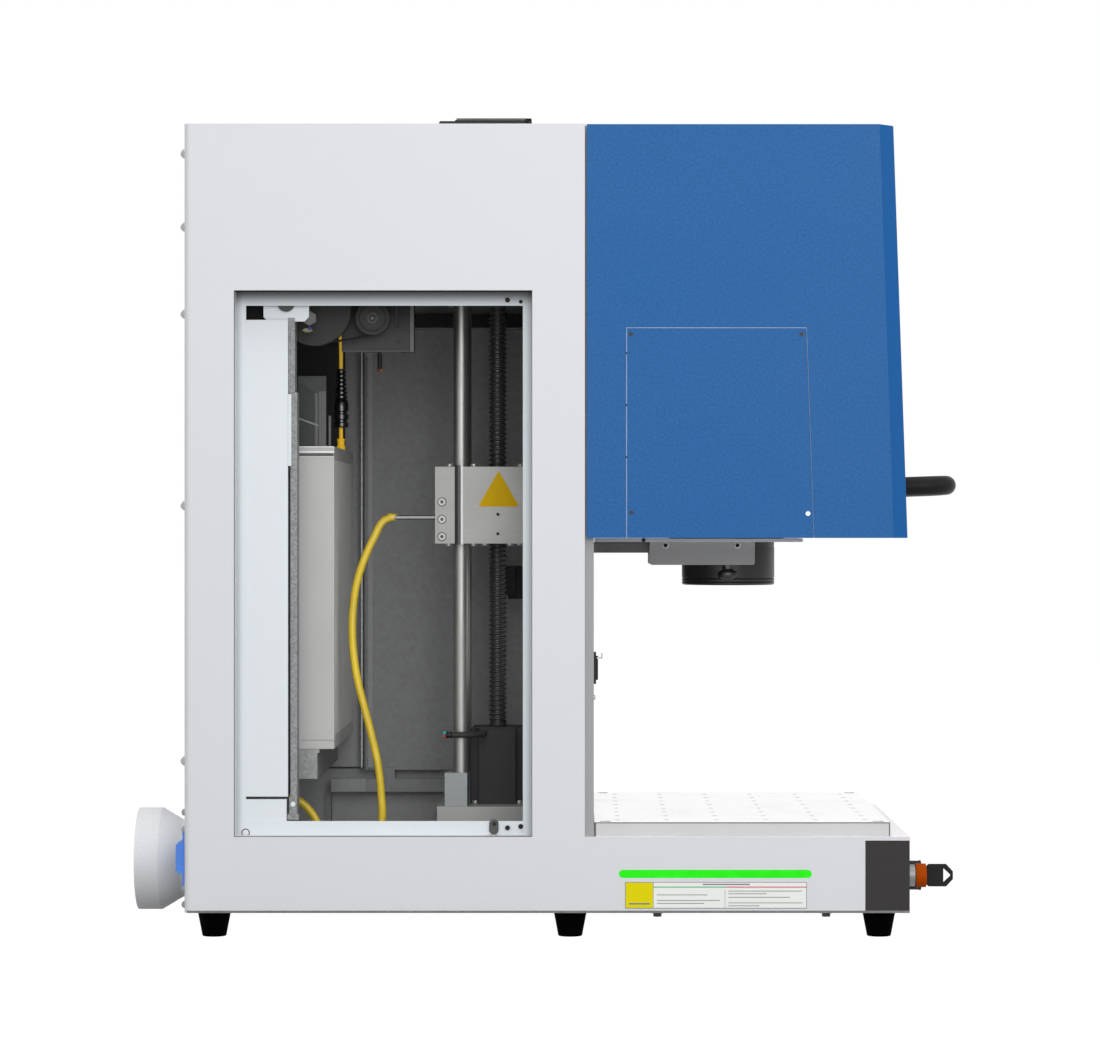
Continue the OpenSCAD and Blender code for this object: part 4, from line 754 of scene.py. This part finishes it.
fields = [field(label["left"], label["right"], label["low"], label["high"], "greyInk", 0),
          field(film["left"], film["right"], film["low"], film["high"], "labelFilm"),
          field(film["left"], 0.1021, film["low"], film["high"], "yellowInk", 2),
          field(0.1022, 0.1027, label["low"], label["high"], "greyInk", 2),
          field(0.1028, 0.174, 0.0514, 0.0524, "greenInk", 2), field(0.174, 0.2556, 0.0514, 0.0524, "redInk", 2),
          field(0.174, 0.1744, film["low"], 0.0492, "greyInk", 2)]
# plain bars in place of text: left, right, height, thickness
textBars = [(0.152, 0.199, 0.0546, 0.0013), (0.106, 0.1566, 0.0441, 0.0007), (0.106, 0.169, 0.0385, 0.0007),
            (0.106, 0.1535, 0.0356, 0.0007), (0.1775, 0.251, 0.0479, 0.0007), (0.1775, 0.216, 0.0452, 0.0007),
            (0.1775, 0.239, 0.0417, 0.0007), (0.1775, 0.252, 0.0361, 0.0007), (0.1775, 0.2085, 0.0332, 0.0007),
            (0.078, 0.099, 0.0352, 0.0016)]
for left, right, height, thickness in textBars:
    fields.append(field(left, right, height - thickness / 2, height + thickness / 2, "greyInk", 3))
labelPiece = joined("sideLabel", fields)
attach(labelPiece, "frame")
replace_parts(labelPiece, "side_label")

keeper = {"x": -0.0575, "radius": 0.0047, "low": 0.1073, "high": 0.1131, "face": -0.1925}
keeperPost = turned("keeperPost", (keeper["x"], keeper["face"], keeper["low"]), "-y",
                    [(keeper["radius"], -0.0024), (keeper["radius"], -0.0003), (keeper["radius"] - 0.0004, 0)], 40)
for point in keeperPost.data.vertices:
    if point.co.z > keeper["low"] + 0.00001:
        point.co.z += keeper["high"] - keeper["low"]
keeperHole = turned("keeperHole", (keeper["x"] + 0.0004, keeper["face"], keeper["high"]), "-y",
                    [(0.0022, -0.0004), (0.0022, 0.0002), (0.0014, 0.0003)], 20)
gathered("latchKeeper", [keeperPost, keeperHole], ("keeperGrey", "recessShade"))

# screws and a pin in the ledge at the door opening, each on a painted pad: x, z, pad radius
jamb = {"face": -0.1918, "padFace": -0.1899}
screws("jambScrews", [(x, jamb["face"], z) for x, z in ((-0.0438, 0.1091), (-0.0305, 0.1105), (-0.0438, 0.6405))],
       "-y", 0.0025, 0.0012, "recessShade", recess=0.4)
screws("jambPin", [(-0.0305, jamb["face"], 0.6388)], "-y", 0.0019, 0.0016, "recessShade", sides=20, recess=0.4)

# key switch: a straight collar with a lip stands round its bezel
keyLow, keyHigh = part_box("key_switch")
collar = {"tubes": ((0.0139, 0.0318, 0.0148), (0.0302, 0.032, 0.0152)), "wall": 0.0009, "z": 0.0564}
sleeves = []
for start, end, radius in collar["tubes"]:
    clearSelection()
    bpy.ops.mesh.primitive_cylinder_add(
        vertices=64, radius=radius, depth=end - start, end_fill_type="NOTHING", rotation=(0, math.pi / 2, 0),
        location=(keyLow.x + (start + end) / 2, (keyLow.y + keyHigh.y) / 2, collar["z"]))
    sleeve = newest("sleeve")
    fixPlace(sleeve)
    applyModifier(sleeve, "SOLIDIFY", thickness=collar["wall"], offset=-1)
    smooth(sleeve, 30)
    sleeves.append(sleeve)
gathered("keyCollar", sleeves, "recessShade")

# port lid: a cover plate, with a thin light grey strip just under its edge: a painted highlight along the joint
lidLow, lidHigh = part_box("port_lid")
plates("lidSeal", [(lidLow.x + 0.0034, lidLow.y - 0.0003, lidHigh.z - 0.0011,
                    lidHigh.x - 0.006, lidLow.y + 0.0004, lidHigh.z - 0.0005)], "bezelPlastic", "port_lid", 0.0001)
plates("lidCover", [(lidLow.x + 0.003, lidLow.y, lidHigh.z - 0.0001, lidHigh.x, lidHigh.y, lidHigh.z + 0.0008)],
       "blackPlastic", "port_lid", 0.0003, 2)

pads = ((-0.0435, 0.1108, 0.0043), (-0.0302, 0.1118, 0.0033), (-0.0436, 0.6397, 0.0041), (-0.0302, 0.6379, 0.0032))
gathered("jambPads", [turned("pad", (x, jamb["padFace"], z), "-y",
                             [(radius, 0), (radius, 0.0004), (radius - 0.0002, 0.0005)], 32)
                      for x, z, radius in pads], "ledgePaint")

hinge = {"place": (-0.3076, -0.1901, 0.104), "ring": [(0.0044, 0), (0.0044, 0.0002), (0.0036, 0.0003)],
         "pin": [(0.0032, 0), (0.0032, 0.0006), (0.0024, 0.0011), (0.0009, 0.0013)]}
discs("pinRing", [hinge["place"]], "-y", hinge["ring"], "shadedMetal", sides=28)
# thin dark lines just inside the opening's edges: painted shade along them
plates("openingShadeLines",
       [(-0.3174, -0.2146, 0.1014, -0.0183, -0.208, 0.1023), (-0.3174, -0.2146, 0.1024, -0.3167, -0.208, 0.6485),
                       (-0.019, -0.2146, 0.1024, -0.0183, -0.208, 0.6485)], "shadedMetal", width=0.0001)
discs("hingePin", [hinge["place"]], "-y", hinge["pin"], "trayPaint")
dome = [(0.0036, 0), (0.0035, 0.0012), (0.0027, 0.0026), (0.0012, 0.0034), (0.0004, 0.0036)]
discs("rearScrews", [(back, -0.205, z) for z in (0.126, 0.1085, 0.0495, 0.0335)], "-x", dome, "zinc")

tableLow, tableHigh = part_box("work_table")
trim = {"near": tableLow.y - 0.0003, "far": tableLow.y + 0.0004, "step": tableHigh.z - 0.0012}
# thin dark strips along the table's top edge and at its ends: painted shade
plates("tableTrims", [(tableLow.x, trim["near"], tableHigh.z - 0.0011, tableHigh.x, trim["far"], tableHigh.z - 0.0001),
                      (tableLow.x - 0.0002, trim["near"], tableLow.z, tableLow.x + 0.0018, trim["far"], trim["step"]),
                      (tableHigh.x - 0.001, trim["near"], tableLow.z, tableHigh.x + 0.0002, trim["far"], trim["step"])],
       "shadedMetal", width=0.0001)
print("body details ready")


# lead screw: one turn of its profile, wound upward

screw = {"x": back + 0.309, "crest": 0.0094, "root": 0.0075, "pitch": 0.005, "low": 0.203, "high": 0.672, "steps": 20}
flank = screw["crest"] - 0.0004
thread = [(screw["root"], 0), (screw["root"], 0.0012), (flank, 0.0019), (screw["crest"], 0.0024),
          (screw["crest"], 0.0032), (flank, 0.0037), (screw["root"], 0.0044), (screw["root"], screw["pitch"])]
clearSelection()
bpy.ops.mesh.primitive_circle_add(vertices=len(thread), radius=0.01, fill_type="NOTHING")
leadScrew = newest("leadScrew")
makeActive(leadScrew)
bpy.context.tool_settings.mesh_select_mode = (False, True, False)
openEnds = {0, len(thread) - 1}
for edge in leadScrew.data.edges:
    edge.select = set(edge.vertices) == openEnds
for point in leadScrew.data.vertices:
    point.select = point.index in openEnds
bpy.ops.object.mode_set(mode="EDIT")
bpy.ops.mesh.delete(type="EDGE_FACE")
bpy.ops.object.mode_set(mode="OBJECT")
for point, (radius, height) in zip(leadScrew.data.vertices, thread):
    point.co = (radius, 0, height)
applyModifier(leadScrew, "SCREW", axis="Z", angle=2 * math.pi, screw_offset=screw["pitch"],
              iterations=int((screw["high"] - screw["low"]) / screw["pitch"]), steps=screw["steps"],
              render_steps=screw["steps"], use_merge_vertices=True, merge_threshold=0.000005)
inEditMode(leadScrew, weld(0.000005), facingOut)
leadScrew.location = (screw["x"], 0, screw["low"])
fixPlace(leadScrew)
smooth(leadScrew, 50)
# its two ends and its core
journals = {
    0.1865: [(0.0045, 0), (0.005, 0.0006), (0.005, 0.0148), (0.0086, 0.015), (0.0088, 0.0155), (0.0088, 0.0185),
             (0.0068, 0.019)],
    0.6695: [(0.0068, -0.002), (0.0086, 0), (0.0088, 0.0005), (0.0088, 0.0032), (0.005, 0.0034), (0.005, 0.011),
             (0.0045, 0.0115)],
    0.2015: [(0.0067, 0), (0.0068, 0.001), (0.0068, 0.4695), (0.0066, 0.47)],
}
shafts = [turned("shaft", (screw["x"], 0, z), "z", profile, 40) for z, profile in journals.items()]
leadScrew = joined("leadScrew", [leadScrew, *shafts])
paint(leadScrew, "screwBlack")
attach(leadScrew, "lead_screw")
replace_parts(leadScrew, "lead_screw")
print("lead screw ready")


# carriage details

clamp = {"x": -0.1146, "front": -0.0687, "face": frontOf(made["carriage"]), "heights": (0.4381, 0.42, 0.402)}
screws("clampScrews", [(clamp["x"], clamp["front"], z) for z in clamp["heights"]], "-y", 0.0041, 0.004,
       "screwSteel", "head", 32, 0.42)
# dark discs under the clamp screws, for their counterbores: painted shade in the recesses
discs("counterbores", [(clamp["x"], clamp["face"], z) for z in clamp["heights"]], "-y",
      [(0.0048, -0.0005), (0.0048, 0.0001), (0.0044, 0.00012)], "shadedMetal", "head", 32)
screws("carriageTopScrews", [(-0.1071, -0.05, 0.4782), (-0.082, -0.05, 0.4782), (-0.033, -0.05, 0.4782),
                             (-0.1071, 0.04, 0.4775), (-0.033, 0.04, 0.4775)],
       "z", 0.0036, 0.0032, "brightSteel", "head")
screws("carriageLowScrews", [(-0.1082, -0.05, 0.392), (-0.082, -0.05, 0.392), (-0.0704, -0.05, 0.3924),
                             (-0.0442, -0.05, 0.3924), (-0.0348, -0.04, 0.3924)],
       "-z", 0.0038, 0.0034, "brightSteel", "head")
# a near-white strip on the edge of the carriage's slot: painted highlight
plates("slotEdge", [(-0.0951, -0.0683, 0.3936, -0.0926, -0.056, 0.4765)], "slotMetal", "head", segments=2)
# dark plates inside the carriage's slot: painted shade, beside the bearing's darkened face
plates("slotShadeLining",
       [(left, -0.0672, 0.394, right, -0.0662, 0.4762) for left, right in ((-0.1018, -0.0982), (-0.0982, -0.0952))],
       ("slotShade", "bearingSteel"), "head", 0.0002)
discs("carriageHoles", [(-0.0564, clamp["face"], z) for z in (0.4253, 0.405)], "-y",
      [(0.0016, -0.0004), (0.0016, 0.0001), (0.0008, 0.00012)], "recessShade", "head", 20)

# a plain yellow triangle with rounded corners
sticker = {"centre": (-0.0555, -0.068, 0.4457), "radius": 0.0249, "corner": 0.0022, "thickness": 0.0002}
clearSelection()
bpy.ops.mesh.primitive_circle_add(vertices=3, radius=sticker["radius"], fill_type="NGON")
stickerPiece = newest("carriageSticker")
bpy.context.tool_settings.mesh_select_mode = (True, False, False)
inEditMode(stickerPiece, lambda: bpy.ops.mesh.bevel(offset=sticker["corner"], segments=5, affect="VERTICES"),
           lambda: bpy.ops.mesh.extrude_region_move(TRANSFORM_OT_translate={"value": (0, 0, sticker["thickness"])}))
stickerPiece.rotation_euler = (math.pi / 2, 0, 0)
stickerPiece.location = sticker["centre"]
fixPlace(stickerPiece)
inEditMode(stickerPiece, facingOut)
settle(stickerPiece, "head", "stickerYellow")
print("carriage details ready")


# motors, wires and small fixings, with strips and plates of painted light and shade

def squashed(name, place, axis, profile, scale, finishName, body, sides):
    piece = turned(name, (0, 0, 0), axis, profile, sides)
    piece.scale = scale
    piece.location = place
    return settle(piece, body, finishName)


screws("motorScrews", [(x, y, 0.1242) for x in (-0.0812, -0.0346) for y in (-0.0235, 0.0235)], "z", 0.0033, 0.004,
       "brightSteel")

lead = {"x": -0.111, "y": -0.0605, "z": 0.1952,
        "rings": [(0.0029, -0.001), (0.0037, -0.0006), (0.0037, 0.001), (0.0029, 0.0014)],
        "tip": [(0.0014, -0.001), (0.0014, 0.0008), (0.0016, 0.0011), (0.0016, 0.0022), (0.0008, 0.0026)]}
discs("leadRings", [(lead["x"] + at, lead["y"], lead["z"]) for at in (0.0022, 0.0062)], "-x", lead["rings"],
      "blackPlastic")
for name, height, finishName in (("leadTipCyan", 0.0018, "cyanTip"), ("leadTipRed", -0.0018, "redTip")):
    discs(name, [(lead["x"], lead["y"], lead["z"] + height)], "-x", lead["tip"], finishName, sides=16)

screws("liftPlateScrews", [(-0.2025, -0.1412, 0.6004), (-0.1566, -0.1412, 0.6007)], "-y", 0.0022, 0.0014,
       "blackOxide", sides=20)
plates("edgePlate", [(-0.265, -0.1882, 0.4735, -0.2618, -0.179, 0.546)], "innerPaint", segments=2)
plates("edgeBracket",
       [(-0.2661, -0.1862, 0.1166, -0.254, -0.184, 0.1227), (-0.264, -0.1862, 0.1215, -0.2565, -0.1845, 0.14)],
       "edgeZinc", width=0.0004, segments=2)
discs("bracketHead", [(-0.2602, -0.1862, 0.1324)], "-y",
      [(0.0026, 0), (0.0027, 0.0006), (0.0021, 0.0013), (0.0008, 0.0016)], "innerPaint")

sourceFace = -0.11
# light strips across the source's end plate: painted highlights on its edges; the dark strip between them: painted
# shade
plates("sourceStrips", [(-0.2611, sourceFace - 0.0008, low, -0.2238, sourceFace + 0.0005, high)
                        for low, high in ((0.4939, 0.4951), (0.4882, 0.4902), (0.4839, 0.4848))], "edgeMetal",
                        width=0.0002)
plates("sourceShade", [(-0.2611, sourceFace - 0.0004, 0.4849, -0.2245, sourceFace + 0.0005, 0.488)], "shadedMetal",
       width=0.0001)

gusset = {"left": -0.2616, "fold": -0.2399, "right": -0.2321, "foot": 0.4953, "leftTop": 0.5616, "foldTop": 0.5488,
          "drop": 0.0079}
# the gusset's web in a darker copy of its zinc, painted shade, and its strut in a lighter one, a painted highlight
web = plate((gusset["left"], sourceFace - 0.0004, gusset["foot"]),
            (gusset["fold"], sourceFace + 0.0004, gusset["foldTop"]), 0.0001)
for point in web.data.vertices:
    if point.co.z > gusset["foldTop"] - 0.001 and point.co.x < gusset["left"] + 0.001:
        point.co.z += gusset["leftTop"] - gusset["foldTop"]
gathered("gussetWeb", [web], "darkWeb")
fold = plate((gusset["fold"], sourceFace - 0.0009, gusset["foot"]),
             (gusset["right"], sourceFace + 0.0004, gusset["foldTop"] + 0.003), 0.0003, 2)
strut = plate((gusset["left"], sourceFace - 0.0012, 0.5232), (gusset["fold"], sourceFace, 0.5252), 0.0003)
for point in strut.data.vertices:
    point.co.z -= gusset["drop"] * (point.co.x - gusset["left"]) / (gusset["fold"] - gusset["left"])
post = plate((-0.2296, sourceFace - 0.0004, gusset["foot"]), (-0.2271, sourceFace + 0.001, 0.5267), 0.0002)
bend = plate((gusset["fold"] - 0.004, sourceFace - 0.001, gusset["foot"]),
             (gusset["fold"] - 0.0004, sourceFace, gusset["foldTop"] + 0.001), 0.0003, 2)
gathered("sourceGusset", [fold, bend, strut, post], ("gussetZinc", "gussetZinc", "strutZinc", "gussetZinc"))
discs("gussetPins",
      [(x, sourceFace - 0.0005, z) for x, z in ((-0.2547, 0.5138), (-0.2419, 0.5099), (-0.2457, 0.5222))], "-y",
      [(0.001, -0.0004), (0.001, 0.0004), (0.0004, 0.0005)], "blackOxide", sides=14)

# the strip left of the wall's seam is lighter than the wall: painted highlight on the sheet's edge
plates("wallSeams", [(-0.2149, 0.1925, 0.144, -0.2128, 0.1965, 0.64), (-0.211, 0.1925, 0.144, -0.2013, 0.1965, 0.64)],
       ("brightZinc", "wallZinc"), width=0.0004)
plates("wallSeamGap", [(-0.2124, 0.1945, 0.144, -0.211, 0.1966, 0.64)], "blackOxide", width=0.0002)

looseLead, _ = swept("looseLead",
                     [(-0.1888, 0.1, 0.612), (-0.1888, 0.1, 0.604), (-0.1884, 0.099, 0.594), (-0.1888, 0.1, 0.584)],
                     0.0026, 4, "NURBS")
makeActive(looseLead)
bpy.ops.object.convert(target="MESH")
smooth(looseLead, 50)
settle(looseLead, "frame", "greyLead")
for name, x, finishName in (("leadCoreRed", -0.1896, "redTip"), ("leadCoreYellow", -0.1872, "stickerYellow")):
    discs(name, [(x, 0.1, 0.5845)], "-z", [(0.001, 0), (0.0011, 0.003), (0.0006, 0.0035)], finishName, sides=16)

discs("idlerNut", [(-0.2441, -0.1815, 0.6228)], "-y",
      [(0.0078, -0.006), (0.0078, -0.0006), (0.007, 0), (0.004, 0.0001)],
      "gussetZinc", sides=6)
squashed("idlerKnob", (-0.2462, -0.179, 0.6108), "-y",
         [(0.0052, -0.008), (0.0052, -0.0012), (0.00442, 0), (0.0022, 0.0004)],
         (1, 1, 0.45), "paleKnob", "frame", 28)
discs("knobTip", [(-0.2438, -0.1792, 0.6124)], "-y", [(0.0017, -0.001), (0.0017, 0.0004), (0.0009, 0.0008)],
      "violetTip", sides=16)
plates("partitionLips",
       [(-0.2654, -0.1845, 0.547, -0.2583, -0.16, 0.623), (-0.263, -0.1845, 0.118, -0.256, -0.16, 0.548)],
       "edgeZinc")

pulleyLow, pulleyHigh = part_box("motor_pulley")
hub = ((pulleyLow.x + pulleyHigh.x) / 2, pulleyLow.y, (pulleyLow.z + pulleyHigh.z) / 2)
pulleyRings = [turned("ring", hub, "-y",
                      [(outer, -0.001), (outer, 0.0002), (outer - 0.0003, 0.0006), (inside, 0.0006),
                       (inside - 0.0002, 0.0001)])
               for outer, inside in ((0.0132, 0.0122), (0.006, 0.003))]
hubPin = turned("hubPin", hub, "-y", [(0.0022, 0), (0.0022, 0.0012), (0.0014, 0.0016)], 24)
gathered("pulleyFace", [*pulleyRings, hubPin], ("wheelBlack", "dimZinc", "gussetZinc"))

# a black plate in the gap beside the guide plate, standing for shade there: painted shade
plates("topShade", [(-0.312, -0.168, 0.618, -0.288, -0.166, 0.64)], "beltRubber", width=0.0002)
plates("wallFoot", [(-0.2503, 0.194, 0.143, -0.2117, 0.1966, 0.145), (-0.248, 0.189, 0.1175, -0.209, 0.1966, 0.1324),
                    (-0.248, 0.19, 0.06, -0.2472, 0.1966, 0.1174)], ("blackOxide", "wallZinc", "shadedMetal"))
# thin strips on the lift plate's edges, the upright one lighter than the plate: painted highlight
plates("liftPlateEdges",
       [(-0.1444, -0.141, 0.5904, -0.1404, -0.14, 0.66), (-0.213, -0.141, 0.5904, -0.1446, -0.14, 0.593)],
       ("gussetZinc", "dimZinc"), width=0.0002)
# a bar high on the far wall, for the cross beam there, coloured near black: painted shade
plates("crossBar", [(-0.1536, 0.17, 0.633, -0.018, 0.174, 0.6475)], "slotShade")
discs("columnScrew", [(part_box("column_front")[1].x, -0.204, 0.241)], "x",
      [(0.0024, -0.0002), (0.0024, 0.0008), (0.0018, 0.0016), (0.0006, 0.0018)], "brightSteel")
# dark plates on the far wall and behind the source, standing for shade there: painted shade
plates("cornerShade", [(-0.093, 0.204, 0.15, -0.0155, 0.206, 0.64)], "cornerCoat")
plates("shadePlate", [(-0.2868, 0.19, 0.5, -0.2323, 0.1945, 0.628)], "shadeCoat")
print("small fixings ready")


# fibre cable and connector: places in millimetres

cable = {"radius": 0.004, "points": ((-168.5, -60, 422), (-176, -60, 418), (-185, -63, 402), (-195, -65, 380),
         (-203, -65, 355), (-207, -65, 329), (-208, -65, 301), (-206, -65, 274), (-202, -65, 250), (-196, -65, 226),
         (-189, -65, 199), (-181, -65, 163), (-178, -65, 134), (-177, -65, 106), (-182, -64, 84), (-194, -63, 69),
         (-210, -62, 64), (-227, -62, 69), (-238, -61, 84), (-245, -60, 104), (-256, -60, 120), (-271, -60, 132),
         (-282, -60, 144), (-288, -60, 157), (-288, -60, 170.5))}
pigtail = {"radius": 0.002, "points": ((-227.5, 50, 582), (-227.5, 50, 598), (-228, 50, 616), (-228.5, 51, 634),
           (-228, 51, 654), (-227.5, 50, 672), (-227.5, 50, 690), (-227.5, 50, 703.5))}


def pathOf(curve):
    places = []
    knots = curve.splines[0].bezier_points
    for first, second in zip(knots[:-1], knots[1:]):
        for step in range(8):
            t = step / 8
            places.append((1 - t) ** 3 * first.co + 3 * t * (1 - t) ** 2 * first.handle_right
                          + 3 * t * t * (1 - t) * second.handle_left + t ** 3 * second.co)
    places.append(knots[-1].co.copy())
    return places


def lengthOf(path):
    return sum((b - a).length for a, b in zip(path[:-1], path[1:]))


def routed(name, values, finishName, sides):
    # a smooth tube through every point, and the path down its middle
    piece, curve = swept(name, [Vector(p) / 1000 for p in values["points"]], values["radius"], sides, "BEZIER")
    bpy.context.view_layer.update()
    path = pathOf(curve)
    makeActive(piece)
    bpy.ops.object.convert(target="MESH")
    inEditMode(piece, weld(0.000005))
    smooth(piece, 60)
    paint(piece, finishName)
    return piece, path


fibreCable, cablePath = routed("fibreCable", cable, "cableJacket", 6)
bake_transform(fibreCable)
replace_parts(fibreCable, "fibre_cable")
print("cable length", round(lengthOf(cablePath), 4))

discs("cableSleeve", [(-0.1712, -0.0588, 0.4222)], "x",
      [(0.004, 0), (0.0041, 0.003), (0.0036, 0.007), (0.0027, 0.0105), (0.0023, 0.0127)], "cableJacket", "head", 28)

fibrePigtail, pigtailPath = routed("fibrePigtail", pigtail, "pigtailJacket", 5)
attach(fibrePigtail, "frame")
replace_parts(fibrePigtail, "fibre_pigtail")
print("pigtail length", round(lengthOf(pigtailPath), 4))

connector = {"place": (back + 0.1395, 0.05, 0.4951), "ribs": 7, "rib": 0.0069, "taper": 0.0003, "first": 0.0545,
             "step": 0.0045}
ribs = []
for rib in range(connector["ribs"]):
    radius, start = connector["rib"] - connector["taper"] * rib, connector["first"] + rib * connector["step"]
    ribs += [(radius - 0.0018, start), (radius, start + 0.001), (radius, start + 0.0028),
             (radius - 0.0018, start + 0.0038)]
shank = [(0.0016, 0.023), (0.0072, 0.0238), (0.0082, 0.025), (0.0082, 0.0285), (0.0066, 0.0295), (0.0066, 0.0318),
         (0.0082, 0.0328), (0.0082, 0.0375), (0.0066, 0.0385), (0.0066, 0.0405), (0.008, 0.0415), (0.008, 0.05),
         (0.007, 0.053)]
boot = turned("boot", connector["place"], "z", shank + ribs + [(0.0034, 0.0858), (0.0026, 0.0866)], 40)
neck = turned("neck", connector["place"], "z",
              [(0.004, 0), (0.0044, 0.001), (0.0044, 0.004), (0.0036, 0.005), (0.0036, 0.009), (0.0042, 0.01),
               (0.0042, 0.0112), (0.002, 0.0122), (0.002, 0.0236)], 36)
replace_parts(gathered("fibreConnector", [boot, neck], ("bootRubber", "yellowNut")), "fibre_connector")
print("cables and connector ready")


# hood and head details

paintFaces(made["hood_front"], "hoodPaint", lambda f: f.normal.x > 0.98)
panel = {"left": 0.0757, "rightTop": 0.2562, "rightFoot": 0.2635, "top": 0.6113, "foot": 0.4012, "face": 0.2146,
         "inset": 0.001}
slope = (panel["rightFoot"] - panel["rightTop"]) / (panel["top"] - panel["foot"])
# light strips inside the gaps round each access panel: painted highlights along the panels' edges
seams = []
for side in (-1, 1):
    near, far = sorted((side * panel["face"], side * (panel["face"] - panel["inset"])))
    seams.append(plate((panel["left"] - 0.0006, near, panel["top"] - 0.0006),
                       (panel["rightTop"] + 0.0006, far, panel["top"] + 0.0007), 0.0001))
    seams.append(plate((panel["left"] - 0.0007, near, panel["foot"]), (panel["left"] + 0.0006, far, panel["top"]),
                       0.0001))
    seams.append(plate((panel["rightTop"] - 0.0005, near, panel["foot"]),
                       (panel["rightTop"] + 0.0008, far, panel["top"]), 0.0001))
    for point in seams[-1].data.vertices:
        point.co.x += slope * (panel["top"] - point.co.z)
gathered("panelSeams", seams, "seamMetal", "hood")
discs("panelInsert", [(0.2572, -0.2152, 0.4254)], "-y",
      [(0.0024, -0.001), (0.0024, 0.0001), (0.0019, 0.0002), (0.001, 0.0)],
      "deckWhite", "hood")
discs("panelCatches", [(panel["left"], -0.2153, z) for z in (0.586, 0.534, 0.482)], "-y",
      [(0.0011, -0.001), (0.0011, 0.0001), (0.0005, 0.0003)], "blackOxide", "hood", 16)
screws("bracketScrews", [(x, -0.0572, 0.3929) for x in (0.1185, 0.1936)], "-y", 0.0032, 0.0016, "brightSteel", "head",
       24, 0.72)
screws("trayScrew", [(0.0954, -0.0662, 0.3985)], "-y", 0.0022, 0.0016, "blackOxide", "head")
squashed("pointerLamp", (0.1836, -0.052, 0.3745), "-z",
         [(0.0056, 0), (0.0056, 0.006), (0.005, 0.0068), (0.0072, 0.0084), (0.0104, 0.01), (0.0108, 0.0128),
          (0.0098, 0.0152), (0.007, 0.0168), (0.0034, 0.0173)], (1, 0.62, 1), "blackGloss", "head", 40)
discs("lensPane", [(back + 0.553, 0, 0.3548)], "-z",
      [(0.0392, -0.001), (0.0392, 0), (0.03, 0.001), (0.015, 0.0016), (0.004, 0.0018)],
      "lensGlass", "head", 64)
lensLow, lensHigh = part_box("scan_lens")
lensMiddle = (lensLow + lensHigh) / 2
rimRadius = (lensHigh.x - lensLow.x) / 2
discs("lensShroud", [(lensMiddle.x, lensMiddle.y, 0.389)], "z",
      [(rimRadius - 0.003, 0), (rimRadius - 0.0004, 0.0006), (rimRadius - 0.0002, 0.003), (rimRadius - 0.0002, 0.007),
       (rimRadius - 0.001, 0.0073)], "blackAnodised", "head", 96)
print("hood and head details ready")
